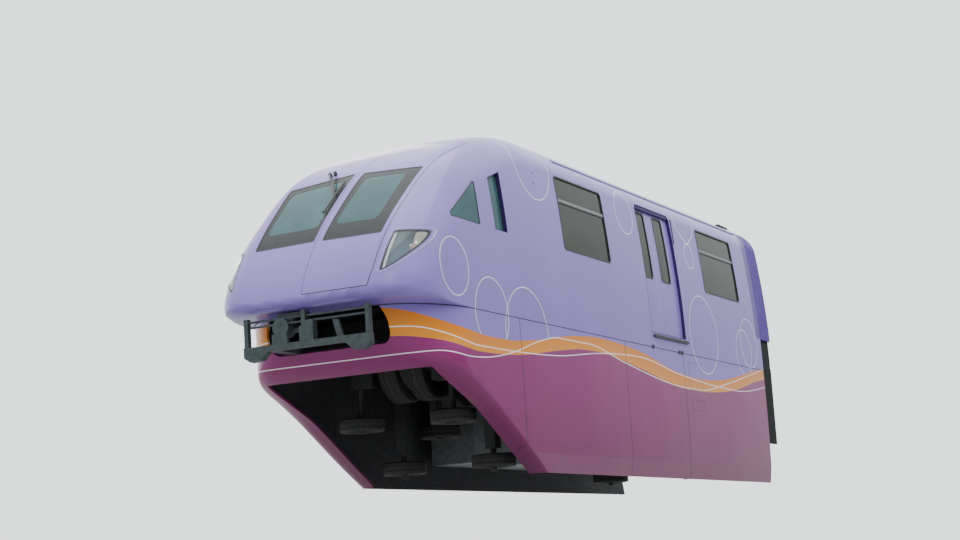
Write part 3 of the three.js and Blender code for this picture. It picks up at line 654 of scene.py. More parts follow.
# %% A helper that wires a finish
class Finish:
    """A Principled material with helpers that add noise to its colour, gloss and surface."""

    def __init__(self, name, colour, roughness, metallic=0.0, **sockets):
        self.material, self.tree, output = node_material(name)
        self.shader = self.tree.nodes.new("ShaderNodeBsdfPrincipled")
        self.tree.links.new(self.shader.outputs[0], output.inputs[0])
        self.shader.inputs["Base Color"].default_value = (*colour, 1)
        self.shader.inputs["Roughness"].default_value = roughness
        self.shader.inputs["Metallic"].default_value = metallic
        for socket, value in sockets.items():
            self.shader.inputs[socket.replace("_", " ")].default_value = value
        self.place = self.tree.nodes.new("ShaderNodeTexCoord").outputs["Object"]

    def link(self, a, b):
        """Joins an output socket to an input socket."""
        self.tree.links.new(a, b)

    def noise(self, scale, detail=4.0, stretch=None):
        """A noise value in the piece's own coordinates, stretched along chosen axes."""
        made = self.tree.nodes.new("ShaderNodeTexNoise")
        made.inputs["Scale"].default_value = scale
        made.inputs["Detail"].default_value = detail
        source = self.place
        if stretch:
            mapping = self.tree.nodes.new("ShaderNodeMapping")
            mapping.inputs["Scale"].default_value = stretch
            self.link(source, mapping.inputs["Vector"])
            source = mapping.outputs[0]
        self.link(source, made.inputs["Vector"])
        return made.outputs["Fac"]

    def span(self, value, low, high, to_low, to_high):
        """A value's span from low to high, carried to another span and clamped."""
        made = self.tree.nodes.new("ShaderNodeMapRange")
        for i, v in enumerate((low, high, to_low, to_high), start=1):
            made.inputs[i].default_value = v
        self.link(value, made.inputs[0])
        return made.outputs[0]

    def mix(self, factor, a, b):
        """Colour a where factor is 0 and b where it is 1; each is a socket or three numbers."""
        made = self.tree.nodes.new("ShaderNodeMix")
        made.data_type = "RGBA"
        self.link(factor, made.inputs[0])
        for value, socket in ((a, made.inputs[6]), (b, made.inputs[7])):
            if isinstance(value, tuple):
                socket.default_value = (*value, 1)
            else:
                self.link(value, socket)
        return made.outputs[2]

    def attribute(self, name):
        """The value stored on the mesh's points under a name."""
        made = self.tree.nodes.new("ShaderNodeAttribute")
        made.attribute_name = name
        return made.outputs["Fac"]

    def math(self, operation, a, b=None):
        """A math node's result; each input is a socket, a number or nothing."""
        made = self.tree.nodes.new("ShaderNodeMath")
        made.operation = operation
        for value, socket in ((a, made.inputs[0]), (b, made.inputs[1])):
            if value is None:
                continue
            if isinstance(value, (int, float)):
                socket.default_value = value
            else:
                self.link(value, socket)
        return made.outputs[0]

    def rough(self, value):
        """Lets a value drive the roughness."""
        self.link(value, self.shader.inputs["Roughness"])

    def tint(self, value):
        """Lets a colour drive the base colour."""
        self.link(value, self.shader.inputs["Base Color"])

    def bump(self, value, strength, distance):
        """Tilts the surface's normals by the slope of a value taken as a height."""
        made = self.tree.nodes.new("ShaderNodeBump")
        made.inputs["Strength"].default_value = strength
        made.inputs["Distance"].default_value = distance
        self.link(value, made.inputs["Height"])
        self.link(made.outputs[0], self.shader.inputs["Normal"])


def speckled(name, colour, roughness, metallic=0.0, scale=18.0, spread=0.18, bump=0.0, **sockets):
    """A plain finish whose colour and gloss drift by a share of their value."""
    finish = Finish(name, colour, roughness, metallic, **sockets)
    drift = finish.noise(scale, 5.0)
    dark = tuple(c * (1 - spread) for c in colour)
    light = tuple(min(1.0, c * (1 + spread)) for c in colour)
    finish.tint(finish.mix(finish.span(drift, 0.3, 0.7, 0, 1), dark, light))
    smooth, dull = roughness * 0.8, min(1.0, roughness * 1.2)
    finish.rough(finish.span(finish.noise(scale * 3, 3.0), 0.3, 0.7, smooth, dull))
    if bump:
        finish.bump(finish.noise(scale * 12, 2.0), 0.4, bump)
    return finish.material


# %% Lilac paint, with or without the livery
LILAC, WHITE = (0.225, 0.158, 0.50), (0.95, 0.94, 0.98)
# The second magenta is a darker copy of the first: painted shade for the low parts of the skirt.
MAGENTA, SHADED_MAGENTA = (0.235, 0.014, 0.135), (0.155, 0.007, 0.08)
ORANGE, AMBER = (0.66, 0.19, 0.006), (0.70, 0.26, 0.012)
GANGWAY_PURPLE = (0.085, 0.045, 0.27)
# The reveal purple is painted shade: a dark copy of the gangway purple for door jambs and window reveals.
REVEAL_SHADE_PURPLE = (0.030, 0.014, 0.10)
BAND_X, BAND_Z = -5.200, 1.415         # the body's end is painted like the gangway, from here on


def body_paint(name, livery, base=LILAC):
    """Clear-coated paint: a faint film of road dust in soft patches, with the livery's colours cut
    from the distances stored on the mesh. The magenta field is darker towards the bottom: painted shade
    under the body."""
    coat = 0.35
    finish = Finish(name, base, 0.3, 0.0, Coat_Weight=coat, Coat_Roughness=0.05, Specular_IOR_Level=0.2)
    drift = finish.span(finish.noise(1.3, 3.0), 0.3, 0.7, 0, 1)
    colour = finish.mix(drift, tuple(c * 0.96 for c in base), tuple(min(1, c * 1.04) for c in base))
    if livery:
        step = 0.0012
        below_top = finish.span(finish.attribute("above_top"), step, -step, 0, 1)
        below_bottom = finish.span(finish.attribute("above_bottom"), step, -step, 0, 1)
        glow = finish.span(finish.attribute("above_bottom"), 0.0, 0.2, 0, 1)
        orange = finish.mix(glow, AMBER, ORANGE)
        colour = finish.mix(below_top, colour, orange)
        height = finish.tree.nodes.new("ShaderNodeSeparateXYZ")
        finish.link(finish.place, height.inputs[0])
        # Painted shade: the magenta darkens towards the bottom, where shade falls under the body.
        painted_shade_fade = finish.span(height.outputs[2], -0.9, 0.6, 0, 1)
        colour = finish.mix(below_bottom, colour, finish.mix(painted_shade_fade, SHADED_MAGENTA, MAGENTA))
        for line in ("line_a", "line_b"):
            near = finish.math("ABSOLUTE", finish.attribute(line))
            printed = finish.span(near, LINE_HALF + step, LINE_HALF - step, 0, 0.9)
            colour = finish.mix(printed, colour, WHITE)
        above = finish.span(finish.attribute("above_top"), -step, step, 0, 1)
        for rings in ("ring_a", "ring_b"):
            near = finish.math("ABSOLUTE", finish.attribute(rings))
            ring = finish.span(near, LINE_HALF * 0.9 + step, LINE_HALF * 0.9 - step, 0, 0.9)
            colour = finish.mix(finish.math("MULTIPLY", ring, above), colour, WHITE)
        behind = finish.span(height.outputs[0], BAND_X + step, BAND_X - step, 0, 1)
        high = finish.span(height.outputs[2], BAND_Z - step, BAND_Z + step, 0, 1)
        end_band = finish.math("MULTIPLY", behind, high)
        colour = finish.mix(end_band, colour, GANGWAY_PURPLE)
        finish.link(finish.span(end_band, 0, 1, coat, 0.03), finish.shader.inputs["Coat Weight"])
    dust = finish.math("MULTIPLY", finish.span(finish.noise(0.7, 3.0, (1, 1, 0.4)), 0.4, 0.7, 0, 1), 0.05)
    finish.tint(finish.mix(dust, colour, (0.40, 0.36, 0.34)))
    finish.rough(finish.span(finish.noise(2.0, 2.0), 0.3, 0.7, 0.29, 0.34))
    finish.bump(finish.noise(1.6, 0.0, (1, 1, 0.5)), 0.03, 0.004)
    return finish.material


PAINT = body_paint("lilac_paint", True)
PLAIN_PAINT = body_paint("lilac_paint_plain", False)
HOOD = speckled("gangway_purple", GANGWAY_PURPLE, 0.55, scale=5, spread=0.06, Specular_IOR_Level=0.15)
# Painted shade: the dark purple finish of the door and window reveals.
REVEAL_PAINTED_SHADE = speckled("door_liner_purple", REVEAL_SHADE_PURPLE, 0.5, scale=9, spread=0.1, Specular_IOR_Level=0.2)
DARK_TRIM = speckled("black_rubber_trim", (0.012, 0.013, 0.014), 0.45, scale=25, bump=0.0004)
UNDERSEAL = speckled("underseal", (0.035, 0.036, 0.040), 0.8, scale=14, bump=0.0006)
LINING = speckled("inner_lining", (0.50, 0.51, 0.52), 0.6, scale=9)
STEEL_DARK = speckled("underframe_paint", (0.030, 0.032, 0.034), 0.55, 0.3, scale=6, bump=0.0006)
STEEL_GREY = speckled("grey_box_paint", (0.20, 0.21, 0.22), 0.42, 0.5, scale=14, bump=0.0005)
COUPLER = speckled("coupler_paint", (0.040, 0.056, 0.058), 0.5, 0.2, scale=14, spread=0.3, bump=0.0006)
# Painted shade: a near-black matte finish for the inside of the coupler recess.
RECESS_PAINTED_SHADE = speckled("recess_lining", (0.014, 0.016, 0.018), 0.85, scale=12, Specular_IOR_Level=0.1)
# Pale trim round the lamps, and a painted highlight on the gutters.
PALE_TRIM_AND_HIGHLIGHT = speckled("pale_trim_and_painted_highlight", (0.36, 0.32, 0.55), 0.45, scale=12)
STEEL_BRIGHT = speckled("bright_steel", (0.62, 0.63, 0.64), 0.28, 1.0, scale=30)
SEAT = speckled("seat_moulding", (0.05, 0.13, 0.33), 0.45, scale=12)
DESK = speckled("desk_moulding", (0.045, 0.047, 0.05), 0.6, scale=20, bump=0.0004)
REFLECTOR = speckled("lamp_reflector", (0.85, 0.86, 0.87), 0.12, 1.0, scale=10)
# The lamp bowl's dark blue is a painted reflection in the lamp's reflector.
LAMP_BOWL_PAINTED_REFLECTION = speckled("lamp_bowl", (0.045, 0.105, 0.155), 0.6, scale=5, spread=0.1, Specular_IOR_Level=0.2)
LAMP_WHITE = speckled("lamp_strip", (0.60, 0.64, 0.68), 0.4, scale=20, spread=0.05)
LAMP_BEIGE = speckled("lamp_insert", (0.40, 0.34, 0.27), 0.45, scale=14)
DOT_RED = speckled("small_red_marker", (0.25, 0.012, 0.03), 0.4, scale=40)


def glass(name, tint, through, roughness=0.04):
    """Tinted pane: mostly a dark mirror with a share of the interior seen through it."""
    finish = Finish(name, tint, roughness, 0.0, Transmission_Weight=through, IOR=1.27)
    finish.rough(finish.span(finish.noise(3.0, 5.0), 0.3, 0.7, roughness * 0.6, roughness * 1.6))
    smear = finish.span(finish.noise(1.4, 6.0, (1, 1, 2.5)), 0.35, 0.75, 0, 1)
    finish.tint(finish.mix(smear, tint, tuple(c * 1.35 for c in tint)))
    return finish.material


WINDSCREEN = glass("windscreen_glass", (0.075, 0.19, 0.21), 0.6)
SALOON_GLASS = glass("saloon_glass", (0.050, 0.060, 0.044), 0.5)
LAMP_GLASS = glass("lamp_cover", (0.80, 0.86, 0.88), 0.97, 0.01)
FRIT = speckled("windscreen_border", (0.022, 0.026, 0.028), 0.35, scale=20, spread=0.1,
                Specular_IOR_Level=0.2)
TYRE = speckled("tyre_rubber", (0.022, 0.022, 0.022), 0.75, scale=30, spread=0.3, bump=0.0008)
RIM = speckled("wheel_steel", (0.33, 0.33, 0.32), 0.45, 0.7, scale=16, bump=0.0004)
print(len(bpy.data.materials), "finishes")

# %% Slots and the finishes that go with them
LIVERY, PLAIN, SHADED_REVEAL = [("body_paint", look) for look in (PAINT, PLAIN_PAINT, REVEAL_PAINTED_SHADE)]
GASKET, CAB_GLASS, SALOON = [("glass", look) for look in (DARK_TRIM, WINDSCREEN, SALOON_GLASS)]
RUBBER = "hood_rubber", DARK_TRIM
print("slots with a usual finish:", LIVERY[0], GASKET[0], RUBBER[0])

# %% [markdown]
# ## Saloon walls
# The skin is one sheet with the window and door holes cut out. A second sheet inside it is
# the lining, and the door leaves slide in the space between the two.

# %% Outlines of the saloon's openings
WINDOWS = {"front": (0.710, 2.245, 1.935, 2.940), "rear": (-4.575, -2.970, 1.935, 2.950)}
DOOR = (-1.88, -0.52, 1.10, 2.99)
SIDES = (("left", 1), ("right", -1))


def side_loop(points, radius=0.0, step=0.04):
    """A side-view polygon, its corners rounded, carried to the flat pattern."""
    loop = rounded(points, radius) if np.any(radius) else np.asarray(points, float)
    return from_side(spaced(loop, step))


def box_points(x0, x1, z0, z1, grow=0.0):
    """The corners of an upright rectangle in side view, moved outwards by a distance."""
    return [(x0 - grow, z0 - grow), (x1 + grow, z0 - grow), (x1 + grow, z1 + grow), (x0 - grow, z1 + grow)]


window_loops = [side_loop(box_points(*WINDOWS[n]), 0.045, 0.03) for n in WINDOWS]
door_loop = side_loop(box_points(*DOOR), (0.012, 0.012, 0.07, 0.07), 0.03)
WALL_TOP = CANTRAIL - 0.001
wall_loop = side_loop([(REAR, BELT), (JOINT, BELT), (JOINT, WALL_TOP), (REAR, WALL_TOP)], 0, 0.05)


def both_sides(name, nets, skin, depth, body, slot, look, nodes=(), **more):
    """The same left-hand net made on both sides; {} in a name or body takes the side."""
    made = []
    for side, sign in SIDES:
        made.append(panel(name.format(side), to_side(nets, sign), skin, depth, body.format(side),
                          slot, look, [n.format(side) for n in nodes], **more))
    return made


print("openings a side:", len(window_loops) + 1)

# %% Wall skin and lining
wall = on_body(upper, wall_loop, [*window_loops, door_loop], 0.07)
for made in both_sides("wall_skin_{}", wall, 0.0, 0.032, "car_body", *LIVERY, ["side_wall_{}"]):
    print_livery(made)
x0, x1, floor_top = REAR + 0.08, CAB - 0.002, 1.101
lining_loop = side_loop([(x0, floor_top), (DOOR[0], floor_top), (DOOR[0], DOOR[3]), (DOOR[1], DOOR[3]),
                         (DOOR[1], floor_top), (x1, floor_top), (x1, CANTRAIL), (x0, CANTRAIL)], 0, 0.08)
lining = on_body(upper, lining_loop, window_loops, 0.12)
both_sides("wall_lining_{}", lining, 0.086, 0.099, "car_body", "body_paint", LINING)
print("wall faces:", len(wall[2]), "and lining faces:", len(lining[2]))

# %% Windows: a rubber frame, a transom and two panes
TRANSOM_Z = 2.60
TRANSOM_PARTS = (("bar", -0.012, 0.028, 0.002, STEEL_GREY), ("seal", -0.026, -0.0125, 0.006, DARK_TRIM))
for name, (x0, x1, z0, z1) in WINDOWS.items():
    frame_hole = side_loop(box_points(x0, x1, z0, z1, -0.022), 0.028, 0.03)
    ring = on_body(upper, side_loop(box_points(x0, x1, z0, z1, -0.002), 0.044, 0.03), [frame_hole], 0.05)
    both_sides(f"window_frame_{name}_{{}}", ring, -0.004, 0.09, "car_body", *GASKET)
    pane = on_body(upper, side_loop(box_points(x0, x1, z0, z1, -0.018), 0.03, 0.04), (), 0.12)
    both_sides(f"pane_{name}_{{}}", pane, 0.014, 0.022, "car_body", *SALOON, [f"window_{name}_{{}}"])
    for part, low, high, skin, look in TRANSOM_PARTS:
        loop = side_loop(box_points(x0 + 0.018, x1 - 0.018, TRANSOM_Z + low, TRANSOM_Z + high), 0, 0.05)
        strip = on_body(upper, loop, (), 0.05)
        both_sides(f"transom_{part}_{name}_{{}}", strip, skin, 0.03, "car_body", "glass", look)
print("saloon windows a side:", len(WINDOWS))

# %% [markdown]
# ## Doors
# Each leaf is a curved sheet that slides in the wall, with a tall window in a black frame.

# %% Door leaves
SEAM = (DOOR[0] + DOOR[1]) / 2
LEAF_Z = (1.920, 2.900)
LEAVES = {"front": (SEAM + 0.003, DOOR[1] + 0.03, -0.945, -0.575),    # ends of the leaf and of its pane
          "rear": (DOOR[0] - 0.03, SEAM - 0.003, -1.640, -1.265)}
for name, (x0, x1, p0, p1) in LEAVES.items():
    hole = side_loop(box_points(p0, p1, *LEAF_Z), 0.045, 0.03)
    leaf_loop = side_loop(box_points(x0, x1, DOOR[2] + 0.0015, DOOR[3] + 0.029), 0, 0.05)
    leaf = on_body(upper, leaf_loop, [hole], 0.07)
    body = f"door_{name}_leaf_{{}}"
    both_sides(f"leaf_{name}_{{}}", leaf, 0.044, 0.076, body, *PLAIN, [f"door_{name}_{{}}"])
    ring = on_body(upper, side_loop(box_points(p0, p1, *LEAF_Z, 0.006), 0.05, 0.03),
                   [side_loop(box_points(p0, p1, *LEAF_Z, -0.022), 0.03, 0.03)], 0.04)
    both_sides(f"leaf_frame_{name}_{{}}", ring, 0.0405, 0.079, body, *GASKET)
    pane = on_body(upper, side_loop(box_points(p0, p1, *LEAF_Z, -0.018), 0.032, 0.04), (), 0.1)
    both_sides(f"leaf_pane_{name}_{{}}", pane, 0.052, 0.060, body, *SALOON, [f"door_glass_{name}_{{}}"])
print("door leaves a side:", len(LEAVES))

# %% [markdown]
# ## Roof
# Both halves of the pattern are laid and joined on the centre line into one sheet. Its
# front edge is the upright joint with the cab, found on the pattern by bisection.

# %% The joint line between saloon and cab
def cross_section(x, share):
    """Pattern places on the plane at x, ahead of the taper: for each share of the way from
    belt (0) to centre line (1), the pattern angle whose point has that x, by bisection."""
    rho = SHEET * np.asarray(share, float)
    low, high = np.zeros_like(rho), np.full_like(rho, math.pi / 2)
    for _ in range(44):
        turn = (low + high) / 2
        short = upper(np.stack([TAPER + rho * np.sin(turn), rho * np.cos(turn)], -1))[:, 0] < x
        low, high = np.where(short, turn, low), np.where(short, high, turn)
    return np.stack([TAPER + rho * np.sin(low), rho * np.cos(low)], -1)


def beside_centre(turns, y):
    """Pattern places a distance y from the centre line, for a row of the pattern's angles."""
    rho = SHEET * (1 - y / np.interp(turns, TURN, fine[:, 2]) * TOP_SHARE)
    return np.stack([TAPER + rho * np.sin(turns), rho * np.cos(turns)], -1)


def turn_of(place):
    """The pattern's angle at a place ahead of the taper."""
    return math.atan2(place[0] - TAPER, place[1])


low_edge = from_side(np.stack([np.linspace(REAR, JOINT, 160), np.full(160, CANTRAIL + 0.001)], -1))
start = np.hypot(low_edge[-1, 0] - TAPER, low_edge[-1, 1]) / SHEET
roof_loop = np.concatenate([
    low_edge[:-1],
    cross_section(JOINT, np.linspace(start, 1, 30)[:-1]),
    beside_centre(np.linspace(turn_of(cross_section(JOINT, [1.0])[0]), 0, 30), 0.0),
    np.stack([np.linspace(TAPER, REAR, 130)[1:], np.full(129, SHEET)], -1),
    np.stack([np.full(12, REAR), np.linspace(SHEET, low_edge[0, 1], 14)[1:-1]], -1),
])
half = on_body(upper, roof_loop, (), 0.08)
roof = panel("roof_skin", halves([half], [half]), 0.0, 0.035, "car_body", *LIVERY, ["roof"],
             behind=LINING)
print_livery(roof)
print("roof faces:", len(roof.data.polygons))

# %% Gutters
# The gutters are painted pale: a painted highlight along the roof's edge.
gutter_loop = from_side(spaced(box_points(-5.180, 2.000, 3.172, 3.200), 0.05))
gutter = on_body(upper, gutter_loop, (), 0.06)
both_sides("gutter_{}", gutter, -0.016, 0.012, "car_body", "body_paint", PALE_TRIM_AND_HIGHLIGHT)
print("gutter points:", len(gutter_loop))

# %% [markdown]
# ## Cab shell and hatch
# The nose is one moulding. Its left half has the escape hatch cut out, its right half a
# windscreen, and both have side windows and a lamp opening. The outlines that matter from
# ahead are drawn in front view, and those on the flanks in side view.

# %% Outlines of the nose
HATCH_X = 4.270                                          # the hatch's hinge line
HATCH_GAP = 0.005
HATCH_EDGE = np.array([                                  # y, z of the hatch's side seam, upwards
    (0.838, 1.058), (0.885, 1.250), (0.905, 1.650), (0.945, 2.200), (0.985, 2.700), (0.995, 2.950)])
SCREENS = {"left": [(0.078, 1.693), (0.855, 1.684), (0.934, 2.585), (0.094, 2.646)],
           "right": [(0.030, 1.700), (0.818, 1.681), (0.856, 2.549), (0.030, 2.662)]}
CLEAR = {"left": [(0.148, 1.905), (0.713, 1.893), (0.761, 2.523), (0.189, 2.552)],
         "right": [(0.080, 1.893), (0.760, 1.885), (0.771, 2.471), (0.090, 2.560)]}
LAMP = [(0.961, 1.197), (1.079, 1.267), (1.177, 1.391), (1.245, 1.519), (1.264, 1.628), (1.264, 1.712),
        (0.996, 1.693)]
LAMP_CORNERS = np.array([0.02, 0.2, 0.3, 0.3, 0.12, 0.02, 0.02])
QUARTER = [(4.626, 1.925), (5.345, 1.930), (5.340, 1.985), (4.680, 2.455), (4.640, 2.455)]
SLIM = [(3.900, 1.925), (4.235, 1.925), (4.265, 2.565), (3.915, 2.695)]


def front_loop(points, radius=0.0, step=0.03):
    """A front-view polygon, its corners rounded, carried to the flat pattern."""
    loop = rounded(points, radius) if np.any(radius) else np.asarray(points, float)
    return from_front(spaced(loop, step))


def grown(points, distance):
    """A polygon with each side moved outwards by a distance."""
    points = np.asarray(points, float)
    before, after = points - np.roll(points, 1, axis=0), np.roll(points, -1, axis=0) - points
    x, y = points.T
    turn = np.sign(np.sum(x * np.roll(y, -1) - y * np.roll(x, -1)))
    across = [np.stack([d[:, 1], -d[:, 0]], -1) * turn for d in (before, after)]
    u, v = [d / np.linalg.norm(d, axis=1, keepdims=True) for d in across]
    return points + (u + v) * (distance / (1 + np.sum(u * v, axis=1)))[:, None]


def hatch_edges(grow, x_back, y_inner):
    """The four edges of the hatch's outline, in order: along the bottom from beside the centre
    line, up the side seam, across the roof to the centre, and down beside the centre line."""
    side = HATCH_EDGE + [grow, 0]
    side[0, 1] -= grow
    bottom = from_front(np.stack([np.linspace(y_inner, side[0, 0], 28)[:-1], np.full(27, side[0, 1])], -1))
    steps = np.linspace(0, 1, 24)[:-1, None]
    seam = from_front(np.concatenate([a + (b - a) * steps for a, b in zip(side[:-1], side[1:])]))
    share = np.hypot(seam[-1, 0] - TAPER, seam[-1, 1]) / SHEET
    back = cross_section(x_back, np.linspace(share, 1 - y_inner / 0.85 * TOP_SHARE, 26))
    inner = beside_centre(np.linspace(turn_of(back[-1]), turn_of(bottom[0]), 110)[1:-1], y_inner)
    return bottom, seam, back, inner


print("hatch outline points:", sum(map(len, hatch_edges(0, HATCH_X, 0.0))))

# %% Cab shell
bottom, seam, back, inner = hatch_edges(HATCH_GAP, HATCH_X - HATCH_GAP, 0.0)
belt_start = from_side([(CAB, BELT)])[0, 0]
belt_edge = np.stack([np.linspace(belt_start, TAPER + SHEET, 110)[:-1], np.full(109, 1e-9)], -1)
chin = beside_centre(np.linspace(math.pi / 2 - 1e-9, turn_of(bottom[0]), 24)[:-1], 0.0)
cab_turn = turn_of(cross_section(CAB, [1.0])[0])
crown_line = beside_centre(np.linspace(turn_of(back[-1]), cab_turn, 14)[1:-1], 0.0)
joint = cross_section(CAB, np.linspace(1, 0.02, 120))
joint = joint[upper(joint)[:, 2] > BELT + 0.02]
with_notch = np.concatenate([belt_edge, chin, bottom, seam, back, crown_line, joint])
whole = np.concatenate([belt_edge, chin, bottom[:1], inner[::-1], back[-1:], crown_line, joint])
lamp_loop = front_loop(grown(LAMP, 0.001), LAMP_CORNERS, 0.015)
side_holes = [side_loop(QUARTER, 0.012, 0.02), side_loop(SLIM, 0.012, 0.02), lamp_loop]
screen_loops = {side: front_loop(points, 0.018) for side, points in SCREENS.items()}
left_shell = on_body(upper, with_notch, side_holes, 0.045)
right_shell = on_body(upper, whole, [*side_holes, screen_loops["right"]], 0.045)
shell_nets = halves([left_shell], [right_shell])
cab = panel("cab_skin", shell_nets, 0.0, 0.030, "car_body", *LIVERY, ["cab_shell"], behind=LINING)
print_livery(cab)
print("cab faces:", len(cab.data.polygons))

# %% Hatch
hatch_loop = np.concatenate(hatch_edges(0.0, HATCH_X, HATCH_GAP))
hatch_net = on_body(upper, hatch_loop, [screen_loops["left"]], 0.045)
panel("hatch_skin", hatch_net, 0.0, 0.030, "hatch", *PLAIN, ["front_hatch"], behind=LINING)
print("hatch faces:", len(hatch_net[2]))

# %% Seal round the hatch
seal_ring = on_body(upper, np.concatenate(hatch_edges(0.0100, HATCH_X - 0.0100, 0.0002)),
                    [np.concatenate(hatch_edges(0.0004, HATCH_X - 0.0004, 0.0046))], 0.05)
panel("hatch_seal", seal_ring, -0.0006, 0.028, "car_body", *RUBBER)

# %% [markdown]
# ## Windscreens, side windows and headlights
# Each pane lies almost flush in its opening, in a black gasket. A printed dark border
# hides the glue behind the glass, widest along the bottom.

# %% Windscreens
def front_ring(points, grow, radius, hole_grow, hole_radius):
    """A ring between two offsets of a front-view polygon, laid on the nose."""
    return on_body(upper, front_loop(grown(points, grow), radius),
                   [front_loop(grown(points, hole_grow), hole_radius)], 0.03)


def side_ring(points, grow, radius, hole_grow):
    """A ring between two offsets of a side-view polygon, laid on the flank."""
    return on_body(upper, side_loop(grown(points, grow), radius, 0.02),
                   [side_loop(grown(points, hole_grow), 0.006, 0.02)], 0.03)


for side, sign, body in (("left", 1, "hatch"), ("right", -1, "car_body")):
    outline = SCREENS[side]
    pane = to_side(on_body(upper, front_loop(grown(outline, -0.005), 0.016), (), 0.06), sign)
    panel(f"windscreen_{side}", pane, 0.003, 0.011, body, *CAB_GLASS, [f"windshield_{side}"])
    clear = front_loop(CLEAR[side], 0.05)
    border = on_body(upper, front_loop(grown(outline, -0.010), 0.014), [clear], 0.05)
    panel(f"windscreen_border_{side}", to_side(border, sign), 0.0018, 0.0028, body, "glass", FRIT)
    gasket = to_side(front_ring(outline, -0.0005, 0.018, -0.011, 0.012), sign)
    panel(f"windscreen_gasket_{side}", gasket, -0.0015, 0.03, body, *GASKET)
print("windscreens:", len(SCREENS))

# %% Cab side windows
quarter = on_body(upper, side_loop(grown(QUARTER, -0.004), 0.010, 0.03), (), 0.06)
both_sides("quarter_pane_{}", quarter, 0.004, 0.012, "car_body", *CAB_GLASS, ["cab_glass_{}"])
ring = side_ring(QUARTER, -0.0005, 0.012, -0.013)
both_sides("quarter_gasket_{}", ring, -0.001, 0.03, "car_body", *GASKET)
SLIM_DEPTH = 0.045
reveal = side_ring(SLIM, -0.0005, 0.012, -0.008)
# The slim window's reveal is painted dark purple: painted shade inside the opening.
both_sides("slim_reveal_{}", reveal, 0.0, SLIM_DEPTH + 0.02, "car_body", *SHADED_REVEAL)
slim = on_body(upper, side_loop(grown(SLIM, -0.009), 0.01, 0.03), (), 0.06)
both_sides("slim_pane_{}", slim, SLIM_DEPTH, SLIM_DEPTH + 0.008, "car_body", *CAB_GLASS)
ring = side_ring(SLIM, -0.0085, 0.01, -0.026)
both_sides("slim_gasket_{}", ring, SLIM_DEPTH - 0.004, SLIM_DEPTH + 0.012, "car_body", *GASKET)
print("cab side windows a side:", len((QUARTER, SLIM)))

# %% Headlights: a cover, a deep bowl, and two lamps
def edge_distance(points, loop):
    """Distance from each point to the nearest point of a closed loop."""
    return np.linalg.norm(points[:, None] - loop[None], axis=-1).min(1)


cover = on_body(upper, front_loop(grown(LAMP, -0.004), LAMP_CORNERS, 0.015), (), 0.03)
both_sides("lamp_cover_{}", cover, 0.001, 0.006, "car_body", "lamp_glass", LAMP_GLASS, ["headlight_{}"])
trim_hole = front_loop(grown(LAMP, -0.014), LAMP_CORNERS * 0.8, 0.015)
trim = on_body(upper, front_loop(LAMP, LAMP_CORNERS, 0.015), [trim_hole], 0.02)
both_sides("lamp_trim_{}", trim, -0.002, 0.04, "car_body", "lamp_glass", DARK_TRIM)
# The bowl's dark blue-grey finish is a painted reflection.
bowl_loop = front_loop(grown(LAMP, -0.006), LAMP_CORNERS, 0.012)
bowl_flat, bowl_faces = net(bowl_loop, (), 0.012)
bowl_points, bowl_normals = laid(upper, bowl_flat)
depth = 0.010 + 0.085 * (1 - np.exp(-edge_distance(bowl_flat, bowl_loop) / 0.022))[:, None]
bowl = bowl_points, bowl_normals, facing(bowl_points, bowl_faces, bowl_normals)
both_sides("lamp_bowl_{}", bowl, depth, depth + 0.004, "car_body", "lamp_glass", LAMP_BOWL_PAINTED_REFLECTION, sharp=60)
pale_ring = on_body(upper, front_loop(grown(LAMP, 0.024), LAMP_CORNERS + 0.01, 0.015),
                    [front_loop(grown(LAMP, 0.016), LAMP_CORNERS + 0.005, 0.015)], 0.02)
both_sides("lamp_pale_ring_{}", pale_ring, -0.003, 0.004, "car_body", "body_paint", PALE_TRIM_AND_HIGHLIGHT)
BEIGE = [(1.180, 1.681), (1.252, 1.690), (1.252, 1.590), (1.226, 1.505), (1.184, 1.455), (1.192, 1.567)]
insert = on_body(upper, front_loop(BEIGE, 0.02, 0.015), (), 0.02)
both_sides("lamp_insert_{}", insert, 0.012, 0.040, "car_body", "lamp_glass", LAMP_BEIGE)
STRIP = np.array([(1.008, 1.672), (1.001, 1.560), (0.995, 1.430), (0.991, 1.310), (0.989, 1.245)])
strip_loop = front_loop(np.concatenate([STRIP, (STRIP + [0.024, 0])[::-1]]), 0.004, 0.015)
strip = on_body(upper, strip_loop, (), 0.02)
both_sides("lamp_strip_{}", strip, 0.012, 0.030, "car_body", "lamp_glass", LAMP_WHITE)
print("headlight bowl points:", len(bowl_flat))

# %% [markdown]
# ## Skirts
# Below the belt the body is drawn by levels. The same cutting works on a second pattern,
# whose length runs round each level and whose height is the real height.

# %% Places on the lower body
def round_level(points, use_x):
    """Pattern places of points (x or y, z) on the lower body, by bisection round the level."""
    value, z = np.asarray(points, float).T
    if use_x:
        behind = value - corner_foot(z)
    low, high = np.zeros_like(z), np.full_like(z, 1.0 if use_x else 2.0)
    for _ in range(40):
        middle = (low + high) / 2
        place = lower(np.stack([middle, z], -1))
        short = place[:, 0] < value if use_x else place[:, 1] > value
        low, high = np.where(short, middle, low), np.where(short, high, middle)
    return np.stack([np.where(behind < 0, behind, low) if use_x else low, z], -1)


SKIRT_TOP, SKIRT_BOTTOM, CHIN_Z, FLANGE_Y = 0.885, -0.950, 0.200, 1.100
SKIRT_SEAMS = [REAR, -1.688, 0.535, 3.805]
RECESS_EDGE = np.array([  # y, z of the coupler recess's left edge, from the belt down to its floor
    (0.7325, 0.885), (0.749, 0.852), (0.782, 0.777), (0.802, 0.690), (0.802, 0.610), (0.785, 0.550),
    (0.745, 0.500), (0.690, 0.476)])


def down(value, z_top, z_bottom, use_x, n):
    """A line on the lower body at one x or one y, from a height to a lower one."""
    return round_level(np.stack([np.full(n, value), np.linspace(z_top, z_bottom, n)], -1), use_x)


print("skirt seams at x", SKIRT_SEAMS[1:])

